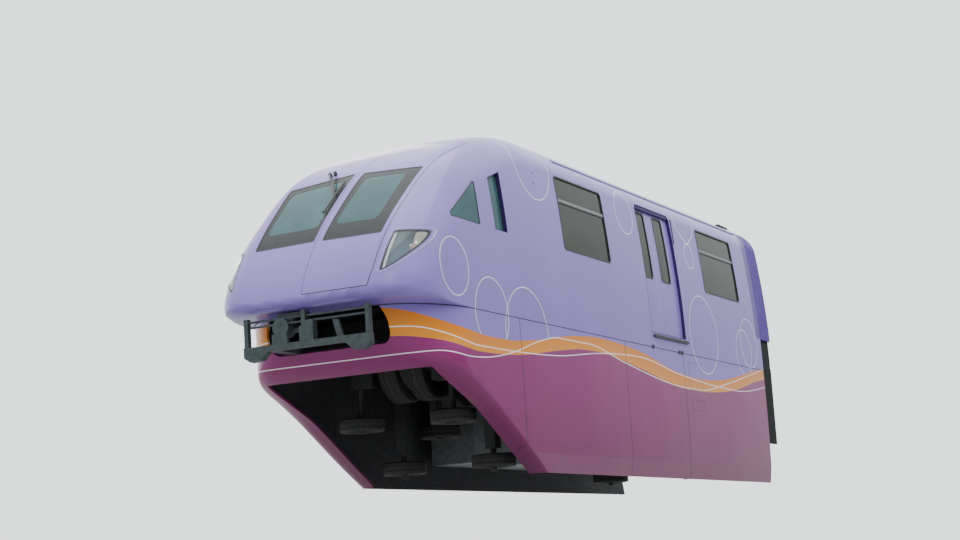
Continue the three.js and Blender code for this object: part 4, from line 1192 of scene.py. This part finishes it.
# %% Skirt panels
SEAM_GAP = 0.0025
seam_end = -0.664         # height where the front seam ends, at the edge of the open front
for i, (x0, x1) in enumerate(zip(SKIRT_SEAMS[:-1], SKIRT_SEAMS[1:])):
    x0 += SEAM_GAP if i else 0
    x1 -= SEAM_GAP
    last = i == 2
    top_edge = round_level(np.stack([np.linspace(x0, x1, 40), np.full(40, SKIRT_TOP)], -1), True)
    if last:
        front_edge = np.concatenate([down(x1, SKIRT_TOP, seam_end, True, 60)[1:],
                                     down(FLANGE_Y, seam_end, SKIRT_BOTTOM, False, 14)])
    else:
        front_edge = down(x1, SKIRT_TOP, SKIRT_BOTTOM, True, 50)[1:]
    c_end = front_edge[-1, 0]
    c_start = round_level([(x0, SKIRT_BOTTOM)], True)[0, 0]
    bottom_edge = np.stack([np.linspace(c_end, c_start, 60)[1:], np.full(59, SKIRT_BOTTOM)], -1)
    rear_edge = down(x0, SKIRT_BOTTOM, SKIRT_TOP, True, 50)[1:-1]
    outline = np.concatenate([top_edge, front_edge, bottom_edge, rear_edge])
    skirt = on_body(lower, outline, (), 0.07)
    for made in both_sides(f"skirt_panel_{i + 1}_{{}}", skirt, 0.0, 0.030, "car_body", "skirt_paint", PAINT,
                           ["skirt_{}"], behind=UNDERSEAL):
        print_livery(made)
print("skirt panels a side:", len(SKIRT_SEAMS) - 1)

# %% Nose skirt
side_x = np.linspace(SKIRT_SEAMS[3] + SEAM_GAP, corner_foot(SKIRT_TOP), 30)[:-1]
recess_start = round_level([tuple(RECESS_EDGE[0])], False)[0, 0]
top_edge = np.concatenate([
    round_level(np.stack([side_x, np.full(29, SKIRT_TOP)], -1), True),
    np.stack([np.linspace(0, recess_start, 60), np.full(60, SKIRT_TOP)], -1)])
knots = np.concatenate([[0], np.cumsum(np.hypot(*np.diff(RECESS_EDGE, axis=0).T))])
recess_curve = hermite(knots, RECESS_EDGE, np.linspace(0, knots[-1], 34))
recess_side = round_level(recess_curve[1:], False)
floor_y, floor_z = RECESS_EDGE[-1]
recess_floor = round_level(np.stack([np.linspace(floor_y, 0, 24)[1:], np.full(23, floor_z)], -1), False)
chin_line = np.stack([np.full(10, 2.0), np.linspace(floor_z, CHIN_Z, 11)[1:]], -1)
chin_edge = round_level(np.stack([np.linspace(0, FLANGE_Y, 40)[1:], np.full(39, CHIN_Z)], -1), False)
flange = down(FLANGE_Y, CHIN_Z, seam_end, False, 50)[1:]
rear_seam = down(SKIRT_SEAMS[3] + SEAM_GAP, seam_end, SKIRT_TOP, True, 60)[:-1]
outline = np.concatenate([top_edge, recess_side, recess_floor, chin_line, chin_edge, flange, rear_seam])
nose_net = on_body(lower, outline, (), 0.05)
nose = panel("nose_skirt_skin", halves([nose_net], [nose_net]), 0.0, 0.030, "car_body", "skirt_paint",
             PAINT, ["nose_skirt"], behind=UNDERSEAL)
print_livery(nose)
print("nose skirt faces:", len(nose.data.polygons))

# %% Dark strips over the skirt's joints
STRIP_HALF = 0.0055
for i, x in enumerate(SKIRT_SEAMS[1:]):
    foot = seam_end if i == 2 else SKIRT_BOTTOM
    edges = down(x + STRIP_HALF, SKIRT_TOP, foot, True, 40), down(x - STRIP_HALF, foot, SKIRT_TOP, True, 40)
    strip = on_body(lower, np.concatenate(edges), (), 0.1)
    both_sides(f"skirt_joint_{i + 1}_{{}}", strip, -0.0006, 0.028, "car_body", *RUBBER)
print("skirt joints:", len(SKIRT_SEAMS) - 1)

# %% [markdown]
# ## Seals and door furniture
# Between the body and its skirts lies a black seal. The doorways have a liner whose dark purple is
# painted shade in the jambs, a rubber sill bar below and a thin grab bar beside them.

# %% Belt seal
seal_back = REAR - float(corner_foot(0.89))
seal_line = np.concatenate([
    np.linspace(seal_back, -0.02, 120), np.linspace(0, 1, 40), np.linspace(1.03, 2, 20)])
seal_loop = np.concatenate([np.stack([seal_line, np.full_like(seal_line, 0.8862)], -1),
                            np.stack([seal_line[::-1], np.full_like(seal_line, 0.8938)], -1)])
seal = on_body(lower, seal_loop, (), 0.2)
panel("belt_seal", halves([seal], [seal]), 0.0005, 0.034, "car_body", *RUBBER)
print("belt seal points:", len(seal_loop))

# %% Door liners and sill bars
# The liner and the head above the door are painted dark purple: painted shade in the door's reveal.
liner = on_body(upper, side_loop(box_points(*DOOR, -0.0006), (0.012, 0.012, 0.07, 0.07), 0.03),
                [side_loop(box_points(*DOOR, -0.011), (0.008, 0.008, 0.06, 0.06), 0.03)], 0.04)
both_sides("door_liner_{}", liner, 0.0, 0.041, "car_body", *SHADED_REVEAL)
head_box = box_points(DOOR[0] + 0.0115, DOOR[1] - 0.0115, 2.930, 2.9785)
head = on_body(upper, side_loop(head_box, 0, 0.05), (), 0.06)
both_sides("door_head_{}", head, 0.006, 0.0405, "car_body", *SHADED_REVEAL)
edge_box = box_points(SEAM - 0.0028, SEAM + 0.0028, DOOR[2] + 0.01, DOOR[3] - 0.01)
meeting_edge = on_body(upper, side_loop(edge_box, 0, 0.05), (), 0.05)
both_sides("leaf_meeting_edge_{}", meeting_edge, 0.050, 0.070, "door_front_leaf_{}", *RUBBER)
sill = on_body(upper, side_loop(box_points(-1.940, -0.570, 1.040, 1.080), 0.012, 0.04), (), 0.05)
both_sides("door_sill_bar_{}", sill, -0.024, 0.002, "car_body", *RUBBER)
print("liner faces:", len(liner[2]))

# %% Bars and turned solids
def tube(path, radius, sides=12):
    """A round bar along a path: a ring of points in the plane across the path at each of its
    points, with a cap at both ends. The ring's axes are carried along so it doesn't twist."""
    path = np.asarray(path, float)
    radius = np.broadcast_to(radius, len(path))[:, None, None]
    along = np.gradient(path, axis=0)
    along /= np.linalg.norm(along, axis=1, keepdims=True)
    side = np.cross(along[0], [0.0, 0.0, 1.0] if abs(along[0, 2]) < 0.9 else [1.0, 0.0, 0.0])
    sides_of = []
    for direction in along:
        side = side - direction * (side @ direction)
        side = side / np.linalg.norm(side)
        sides_of.append(side)
    across = np.array(sides_of)
    other = np.cross(along, across)
    angle = np.linspace(0, 2 * math.pi, sides, endpoint=False)
    around = across[:, None] * np.cos(angle)[:, None] + other[:, None] * np.sin(angle)[:, None]
    rings = path[:, None] + radius * around
    n = len(path)
    i, j = np.meshgrid(np.arange(n - 1), np.arange(sides), indexing="ij")
    a, b = i * sides + j, i * sides + (j + 1) % sides
    quads = np.stack([a, b, b + sides, a + sides], -1).reshape(-1, 4)
    caps = [list(range(sides))[::-1], list(range((n - 1) * sides, n * sides))]
    return rings.reshape(-1, 3), [*quads.tolist(), *caps]


def turned(profile, centre, axis, sides=48):
    """A solid of revolution: (radius, distance along the axis) pairs, from axis to axis."""
    profile = np.asarray(profile, float)
    along = np.asarray(axis, float) / np.linalg.norm(axis)
    u = np.cross(along, [0.0, 0.0, 1.0] if abs(along[2]) < 0.9 else [1.0, 0.0, 0.0])
    u /= np.linalg.norm(u)
    v = np.cross(along, u)
    angle = np.linspace(0, 2 * math.pi, sides, endpoint=False)
    round_about = u * np.cos(angle)[:, None] + v * np.sin(angle)[:, None]
    inner = profile[1:-1]
    rings = centre + inner[:, None, :1] * round_about + inner[:, None, 1:] * along
    ends = np.asarray(centre) + profile[[0, -1], 1:] * along
    points = np.concatenate([rings.reshape(-1, 3), ends])
    n = len(inner)
    i, j = np.meshgrid(np.arange(n - 1), np.arange(sides), indexing="ij")
    a, b = i * sides + j, i * sides + (j + 1) % sides
    quads = np.stack([a, b, b + sides, a + sides], -1).reshape(-1, 4).tolist()
    k, end = np.arange(sides), (n - 1) * sides
    after = (k + 1) % sides
    first = np.stack([np.full(sides, n * sides), after, k], -1)
    last = np.stack([np.full(sides, n * sides + 1), end + k, end + after], -1)
    return points, [*quads, *first.tolist(), *last.tolist()]


def joined(*shapes):
    """Several (points, faces) shapes as one."""
    points, faces, start = [], [], 0
    for p, f in shapes:
        points.append(np.asarray(p, float))
        faces += [[int(i) + start for i in face] for face in f]
        start += len(p)
    return np.concatenate(points), faces


def outward(shape):
    """The shape with every face turned round if its volume, summed over face fans, is negative."""
    points, faces = shape
    volume = 0.0
    for size in {len(f) for f in faces}:
        ring = points[np.array([f for f in faces if len(f) == size])]
        for k in range(1, size - 1):
            volume += np.sum(ring[:, 0] * np.cross(ring[:, k], ring[:, k + 1]))
    return points, (faces if volume > 0 else [f[::-1] for f in faces])


def solid(name, shape, body, slot, look, replaces=(), sharp=35):
    """A closed shape made a piece, its faces turned outwards first."""
    points, faces = outward(shape)
    piece(name, points, faces, body, look, replaces, sharp)


# %% Grab bars
for side, sign in SIDES:
    z = np.linspace(2.575, 2.950, 12)
    bar_path = np.stack([np.interp(z, [2.575, 2.95], [-1.915, -1.945]), sign * (side_at(z) + 0.004), z], -1)
    inwards = np.array([0, sign * 0.02, 0])
    feet = np.concatenate([bar_path[:1] - inwards, bar_path, bar_path[-1:] - inwards])
    solid(f"door_grab_bar_{side}", tube(feet, 0.009), "car_body", *RUBBER)
print("grab bars:", len(SIDES))

# %% [markdown]
# ## Gangway
# A smooth purple hood closes the space to the next car. Under it is a black rubber bellows
# that shows below the hood's edge, and a wavy curtain hangs below the floor on each side.

# %% Gangway hood
HOOD_END = REAR - 0.530
low = from_side([(REAR, 1.415)])[0, 1]
hood_loop = np.concatenate([
    np.stack([np.linspace(HOOD_END, REAR - 0.004, 12), np.full(12, low)], -1),
    np.stack([np.full(60, REAR - 0.004), np.linspace(low, SHEET, 61)[1:]], -1),
    np.stack([np.linspace(REAR - 0.004, HOOD_END, 12)[1:], np.full(11, SHEET)], -1),
    np.stack([np.full(59, HOOD_END), np.linspace(SHEET, low, 61)[1:-1]], -1)])
hood_half = on_body(upper, hood_loop, (), 0.05)
hood_points = halves([hood_half], [hood_half])
panel("gangway_hood", hood_points, 0.006, 0.046, "car_body", "hood_rubber", HOOD, ["gangway"])
print("hood faces:", len(hood_points[2]))

# %% Gangway bellows
shares = np.linspace(from_side([(REAR, 0.93)])[0, 1] / SHEET, 1, 90)
left_ring, left_normal = laid(upper, np.stack([np.full(90, REAR), SHEET * shares], -1))
ring_points = np.concatenate([left_ring, left_ring[-2::-1] * [1, -1, 1]])
ring_normals = np.concatenate([left_normal, left_normal[-2::-1] * [1, -1, 1]])
ring_normals[89] = (0, 0, 1)
FOLDS = 9
fold_x = np.linspace(-0.004, -0.524, FOLDS * 8 + 1)
fold_depth = 0.066 + 0.028 * np.cos(np.linspace(0, FOLDS * 2 * math.pi, len(fold_x)))
grid = (ring_points[None] + np.array([1, 0, 0]) * fold_x[:, None, None]
        - ring_normals[None] * fold_depth[:, None, None])
inner_grid = grid - ring_normals[None] * 0.004


def sheet_of(grid, back):
    """A closed thin sheet between two grids of equal size."""
    n, m = grid.shape[:2]
    i, j = np.meshgrid(np.arange(n - 1), np.arange(m - 1), indexing="ij")
    a = (i * m + j).ravel()
    quads = np.stack([a, a + 1, a + m + 1, a + m], -1)
    size = n * m
    edge = np.concatenate([np.arange(m), np.arange(1, n) * m + m - 1,
                           np.arange(m - 2, -1, -1) + (n - 1) * m, np.arange(n - 2, 0, -1) * m])
    after = np.roll(edge, -1)
    rim = np.stack([after, edge, edge + size, after + size], -1)
    points = np.concatenate([grid.reshape(-1, 3), back.reshape(-1, 3)])
    return points, [*quads.tolist(), *(quads[:, ::-1] + size).tolist(), *rim.tolist()]


solid("gangway_bellows", sheet_of(grid, inner_grid), "car_body", *RUBBER, sharp=60)
print("gangway folds:", FOLDS)

# %% Gangway curtains
CURTAIN_Y, CURTAIN_WAVE = 1.285, 0.020
curtain_z = np.linspace(-0.300, 0.940, 12)
swing = CURTAIN_WAVE * np.cos(np.linspace(0, FOLDS * 2 * math.pi, len(fold_x)))
for side, sign in SIDES:
    x, z = np.meshgrid(REAR + fold_x, curtain_z, indexing="ij")
    outer_wall = np.stack([x, np.repeat(sign * (CURTAIN_Y + swing)[:, None], 12, 1), z], -1)
    curtain = sheet_of(outer_wall, outer_wall - [0, sign * 0.006, 0])
    solid(f"gangway_curtain_{side}", curtain, "car_body", *RUBBER, sharp=60)
print("curtains:", len(SIDES))

# %% Gangway portal
portal_ring = ring_points - ring_normals * 0.10
portal_ring = portal_ring[portal_ring[:, 2] > 1.045][:, 1:]
portal_foot = portal_ring[0] * [1, 0] + [0, 1.040]
portal_loop = spaced(np.concatenate([portal_ring, [portal_foot * [-1, 1], portal_foot]]), 0.06)
passage = spaced(rounded([(-0.45, 1.10), (0.45, 1.10), (0.45, 3.06), (-0.45, 3.06)], 0.09), 0.06)
flat, faces = net(portal_loop, [passage], 0.12)
portal = np.column_stack([np.full(len(flat), HOOD_END + 0.002), flat])
facing_back = np.tile([-1.0, 0, 0], (len(flat), 1))
portal_shape = thick(portal, facing_back, facing(portal, faces, facing_back), 0.0, 0.056)
solid("gangway_portal", portal_shape, "car_body", "hood_rubber", STEEL_GREY, sharp=40)
print("portal faces:", len(faces))

# %% [markdown]
# ## Wheels
# Load tyres carry the car on top of the beam, and the flat side tyres grip its flanks.
# Each is one profile turned round its axle, with the tyre and its hub as two pieces.

# %% Tyre profiles
def rounded_profile(half_width, outer, inner, shoulder, grooves):
    """Half-section of a tyre as (radius, offset) pairs: bead, bulging wall, shoulder arc, and
    a tread with a groove at each given offset."""
    arc = np.linspace(0, math.pi / 2, 8)
    wall = [(inner, half_width * 0.72), (inner + (outer - inner) * 0.35, half_width * 0.98)]
    r, w = outer - shoulder, half_width - shoulder
    corner = [(r + shoulder * math.sin(a), w + shoulder * math.cos(a)) for a in arc]
    tread, floor = [], outer - 0.009
    for g in sorted(grooves, reverse=True):
        tread += [(outer, g + 0.006), (floor, g + 0.004), (floor, g - 0.004), (outer, g - 0.006)]
    half = wall + corner + tread
    return half + [(r, -w) for r, w in half[::-1]]


def axes(axis):
    """An axis, and two directions at right angles to it and to each other."""
    along = np.asarray(axis, float)
    u = np.array([0, 0, 1.0]) if abs(along[2]) < 0.9 else np.array([1.0, 0, 0])
    return along, u, np.cross(along, u)


def hoop(profile, centre, axis, sides):
    """A closed ring: each (radius, offset) pair of a closed profile turned round the axis."""
    along, u, v = axes(axis)
    angle = np.linspace(0, 2 * math.pi, sides, endpoint=False)
    spin = u * np.cos(angle)[:, None] + v * np.sin(angle)[:, None]
    ring = np.array(profile)
    points = np.asarray(centre) + spin[:, None] * ring[None, :, :1] + along * ring[None, :, 1:]
    m = len(ring)
    i, j = np.meshgrid(np.arange(sides), np.arange(m), indexing="ij")
    here, after, j_after = i * m, (i + 1) % sides * m, (j + 1) % m
    quads = np.stack([here + j, after + j, after + j_after, here + j_after], -1)
    return points.reshape(-1, 3), quads.reshape(-1, 4).tolist()


def wheel(centre, axis, half_width, outer, bead, grooves):
    """One tyre as a closed ring: the profile, then back along the bore."""
    profile = rounded_profile(half_width, outer, bead, 0.030, grooves)
    bore = [(bead - 0.004, -half_width * 0.6), (bead - 0.004, half_width * 0.6)]
    return hoop([*profile, *bore], centre, axis, 72)


def bolts(centre, axis, radius, count, size, out):
    """A ring of hexagon bolt heads standing out from a disc."""
    along, u, v = axes(axis)
    profile = [(0, 0), (size, 0), (size, out), (size * 0.7, out * 1.25), (0, out * 1.25)]
    heads = []
    for k in range(count):
        a = 2 * math.pi * k / count
        place = np.asarray(centre) + (u * math.cos(a) + v * math.sin(a)) * radius
        heads.append(turned(profile, place, along, 6))
    return joined(*heads)


# %% Wheels on the two bogies
BOGIE_X, AXLE_DX, WHEEL_Z = 3.300, 0.700, 0.450
GUIDE_DX, GUIDE_Y, GUIDE_Z, STEADY_Z = 1.000, 0.630, -0.250, -0.750
LOAD_TYRE = 0.122, 0.4495, 0.27, (0.0, 0.04, 0.08)      # half width, radius, bead and grooves
SIDE_TYRE = 0.0795, 0.2795, 0.17, (0.0, 0.03)
LOAD_HUB = [              # radius and place along the axle, from its end to its middle
    (0, -0.5), (0.055, -0.5), (0.060, -0.495), (0.060, -0.300), (0.13, -0.285), (0.145, -0.19),
    (0.23, -0.17), (0.262, -0.19), (0.268, -0.265), (0.285, -0.275), (0.285, -0.262),
    (0.266, -0.245), (0.266, -0.10), (0.285, -0.09), (0.285, -0.078), (0.262, -0.072),
    (0.17, -0.060), (0.15, -0.02), (0.15, 0)]
LOAD_HUB += [(r, -w) for r, w in LOAD_HUB[-2::-1]]
SIDE_HUB = [
    (0.0415, -0.05), (0.075, -0.05), (0.08, -0.03), (0.15, -0.022), (0.166, -0.045),
    (0.176, -0.055), (0.176, -0.048), (0.168, -0.03)]
SIDE_HUB += [(r, -w) for r, w in SIDE_HUB[::-1]]


def load_wheels(axle, centre):
    """An axle's two load tyres, and their hubs with bolt heads on the outer faces."""
    across = (0, 1, 0)
    place = axle.removeprefix("axle_")
    tyres = [wheel(centre + [0, s * 0.185, 0], across, *LOAD_TYRE) for s in (1, -1)]
    solid(f"load_tyres_{place}", joined(*tyres), axle, "tyre", TYRE, [axle], 28)
    heads = [bolts(centre + [0, s * 0.187, 0], (0, s, 0), 0.19, 10, 0.016, 0.014) for s in (1, -1)]
    hubs = joined(turned(LOAD_HUB, centre, across, 64), *heads)
    solid(f"load_hubs_{place}", hubs, axle, "rail_steel", RIM, [axle], 30)


def side_wheel(guide, centre):
    """One tyre that lies flat against the beam's flank, and its hub with bolt heads."""
    place = guide.removeprefix("guide_")
    tyre = wheel(centre, (0, 0, 1), *SIDE_TYRE)
    solid(f"side_tyre_{place}", tyre, guide, "tyre", TYRE, [guide], 28)
    heads = [bolts(centre + [0, 0, s * 0.022], (0, 0, s), 0.118, 6, 0.011, 0.010) for s in (1, -1)]
    hub = joined(hoop(SIDE_HUB, centre, (0, 0, 1), 48), *heads)
    solid(f"side_hub_{place}", hub, guide, "rail_steel", RIM, [guide], 30)


tyre_count = 0
for end, x in (("front", BOGIE_X), ("rear", -BOGIE_X)):
    for number, dx in ((1, AXLE_DX), (2, -AXLE_DX)):
        load_wheels(f"axle_{end}_{number}", np.array([x + dx, 0, WHEEL_Z]))
    for tag, dx, z in (("a", GUIDE_DX, GUIDE_Z), ("b", -GUIDE_DX, GUIDE_Z), ("low", 0.0, STEADY_Z)):
        for side, sign in SIDES:
            side_wheel(f"guide_{end}_{tag}_{side}", np.array([x + dx, sign * GUIDE_Y, z]))
            tyre_count += 1
print("side wheels:", tyre_count)

# %% Finishes for the CAD pieces that stay
def dress(name, look):
    """Gives a CAD node's object one finish."""
    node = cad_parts[name]
    node = bpy.data.objects[node] if isinstance(node, str) else node
    for k in range(max(1, len(node.material_slots))):
        if node.material_slots:
            node.material_slots[k].material = look
        else:
            node.data.materials.append(look)


BENCHES = [f"bench_{end}_{side}" for end in ("front", "rear") for side, _ in SIDES]
DRESSING = (
    (STEEL_DARK, ("underframe", "bogie_frame_front", "bogie_frame_rear")),
    (STEEL_GREY, ("equipment_left", "equipment_right")),
    (COUPLER, ("coupler_frame",)),
    (DESK, ("driver_desk",)),
    (SEAT, ("driver_seat", *BENCHES)),
    (STEEL_BRIGHT, ("grab_rails",)),
    (LINING, ("end_wall",)))
for look, names in DRESSING:
    for name in names:
        dress(name, look)
print("CAD pieces dressed:", sum(len(names) for _, names in DRESSING))

# %% [markdown]
# ## Small pieces on the outside
# The last pieces are small, but the eye looks for them: a near-black lining in the coupler's
# recess, which is painted shade, a wiper, roof boxes, covers in the skirt and a few markers. Boxes are
# outlines carried along one axis, and rods are tubes along a path, so one helper makes each kind.

# %% A block with rounded corners and bevelled ends
def block(low, high, axis=2, corner=0.004, bevel=0.003):
    """A box between two corners. Along one axis it is a stack of four rounded rectangles, of
    which the first and last are drawn in by the bevel, joined by quads and capped."""
    low, high = np.asarray(low, float), np.asarray(high, float)
    u, v = [k for k in range(3) if k != axis]
    rings = []
    first, last = low[axis], high[axis]
    levels = (first, bevel), (first + bevel, 0.0), (last - bevel, 0.0), (last, bevel)
    for level, inset in levels:
        a, b, c, d = low[u] + inset, high[u] - inset, low[v] + inset, high[v] - inset
        flat = rounded([(a, c), (b, c), (b, d), (a, d)], corner, 3)
        ring = np.full((len(flat), 3), level)
        ring[:, [u, v]] = flat
        rings.append(ring)
    m = len(rings[0])
    i, j = np.meshgrid(np.arange(3), np.arange(m), indexing="ij")
    here, above, after = i * m, (i + 1) * m, (j + 1) % m
    quads = np.stack([here + j, here + after, above + after, above + j], -1).reshape(-1, 4)
    return np.concatenate(rings), [*quads.tolist(), list(range(m))[::-1], list(range(3 * m, 4 * m))]


def sorted_out(*shapes):
    """Several shapes joined, each with its faces outwards."""
    return joined(*map(outward, shapes))


def over_nose(points, lift):
    """Places a height over the nose, from its front view; a negative y is the right side."""
    points = np.asarray(points, float)
    here, normal = laid(upper, from_front(np.abs(points)))
    same = np.ones(len(points))
    mirror = np.stack([same, np.sign(points[:, 0]), same], -1)
    return (here + normal * np.reshape(lift, (-1, 1))) * mirror


# %% Roof boxes
boxes = [block((x - 0.26, -0.20, 3.330), (x + 0.26, 0.20, 3.459), corner=0.05, bevel=0.015)
         for x in (0.3, -3.9)]
solid("roof_boxes", sorted_out(*boxes), "car_body", *PLAIN)
cleats = [block((-5.25, y0, 3.25), (-4.80, y1, 3.322), corner=0.01)
          for y0, y1 in ((0.93, 0.985), (-0.985, -0.93))]
solid("roof_cleats", sorted_out(*cleats), "car_body", *RUBBER)
print("blocks on the roof:", len(boxes) + len(cleats))

# %% Recess lining
# The lining is near black and matte: painted shade deep in the coupler recess.
edge = spaced(np.concatenate([recess_curve[::3], recess_curve[::-3] * [-1, 1]]), 0.08)
rings = [grown(edge, -0.031), grown(edge, -0.026)]
mouth, outer_mouth = [np.concatenate([ring, ring[:1]]) for ring in rings]
front_x = lower(round_level(np.abs(mouth), False))[:, 0] - 0.033
run = np.linspace(0, 1, 6)[:, None]
lining_x = front_x[None] * (1 - run) + 5.36 * run
inner_wall = np.concatenate([lining_x[..., None], np.repeat(mouth[None], 6, 0)], -1)
outer_wall = np.concatenate([lining_x[..., None], np.repeat(outer_mouth[None], 6, 0)], -1)
solid("recess_lining", sheet_of(inner_wall, outer_wall), "car_body", "frame_steel", RECESS_PAINTED_SHADE)
print("recess lining points round:", len(mouth))

# %% Wiper
def line(a, b, n=8):
    """Points evenly from a to b."""
    return np.asarray(a) + (np.asarray(b) - np.asarray(a)) * np.linspace(0, 1, n)[:, None]


arm_rise = np.array([0.030, 0.050, 0.056, 0.056, 0.054, 0.048, 0.040, 0.030])
PIVOTS = (-0.404, 2.683), (-0.350, 2.700)                # y, z in front view
TIPS = (-0.114, 2.383), (-0.092, 2.330)
HUB = [(0, -0.02), (0.022, -0.02), (0.022, 0.045), (0.014, 0.052), (0, 0.052)]
arms = [tube(over_nose(line(a, b), arm_rise), 0.010, 10) for a, b in zip(PIVOTS, TIPS)]
blade = tube(over_nose(line((-0.071, 2.507), (-0.096, 2.082), 16), 0.022), 0.013, 8)
hubs = [turned(HUB, over_nose([place], 0.0)[0], (0.55, 0, 0.83), 20) for place in PIVOTS]
solid("wiper", sorted_out(*arms, blade, *hubs), "car_body", *RUBBER)
print("wiper arms:", len(arms))

# %% Covers in the skirt and clips at the belt
def skirt_loop(box, grow, radius):
    """A cover's rounded outline on the skirt's pattern, from its x0, x1, z0, z1 in side view."""
    loop = spaced(rounded(box_points(*box, grow), radius), 0.04)
    return np.stack([loop[:, 0] - corner_foot(loop[:, 1]), loop[:, 1]], -1)


COVERS = {"access": (-2.410, -1.870, 0.377, 0.770), "vent": (-2.450, -1.920, 0.070, 0.220)}
for name, box in COVERS.items():
    ring = on_body(lower, skirt_loop(box, 0.005, 0.02), [skirt_loop(box, 0.0, 0.018)], 0.05)
    both_sides(f"{name}_seam_{{}}", ring, -0.0008, 0.004, "car_body", *RUBBER)
clips = [block((x - 0.03, y0, 0.868), (x + 0.03, y1, 0.922))
         for x in (-0.520, -1.550, -1.660) for y0, y1 in ((1.325, 1.356), (-1.356, -1.325))]
solid("belt_clips", sorted_out(*clips), "car_body", *RUBBER)
print("covers a side:", len(COVERS), "and clips:", len(clips))

# %% Markers on the wall
FLIPS = np.array([1, 1, 1]), np.array([1, -1, 1])        # as it is, and mirrored to the right
for name, look, radius, places in (("red_markers", DOT_RED, 0.014, [(2.892, 2.854), (2.906, 2.716)]),
                                   ("dark_markers", DARK_TRIM, 0.010, [(-3.118, 1.427), (-3.315, 1.189)])):
    here, normal = laid(upper, from_side(places))
    disc = [(0, -0.004), (radius, -0.004), (radius, 0.002), (radius * 0.7, 0.004), (0, 0.004)]
    discs = [turned(disc, p * flip, n * flip, 20) for p, n in zip(here, normal) for flip in FLIPS]
    solid(name, sorted_out(*discs), "car_body", "hood_rubber", look)
    print(name, len(discs))

# %% Lamps in the headlights
BULB = np.array([(0, -0.03), (0.024, -0.03), (0.024, 0), (0.020, 0.010), (0.010, 0.015), (0, 0.016)])
bulbs = []
for y, z, size in ((1.208, 1.545, 1.0), (1.180, 1.512, 0.6)):
    for sign in (1, -1):
        place = over_nose([(sign * y, z)], -0.024)[0]
        bulbs.append(turned(BULB * size, place, (0.9, sign * 0.42, 0.1), 28))
solid("headlight_bulbs", sorted_out(*bulbs), "car_body", "lamp_glass", REFLECTOR)
print("bulbs:", len(bulbs))

# %% Finish
size = {"cad": [list(map(float, corner)) for corner in cad_box], "visual": [list(map(float, corner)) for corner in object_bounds()]}
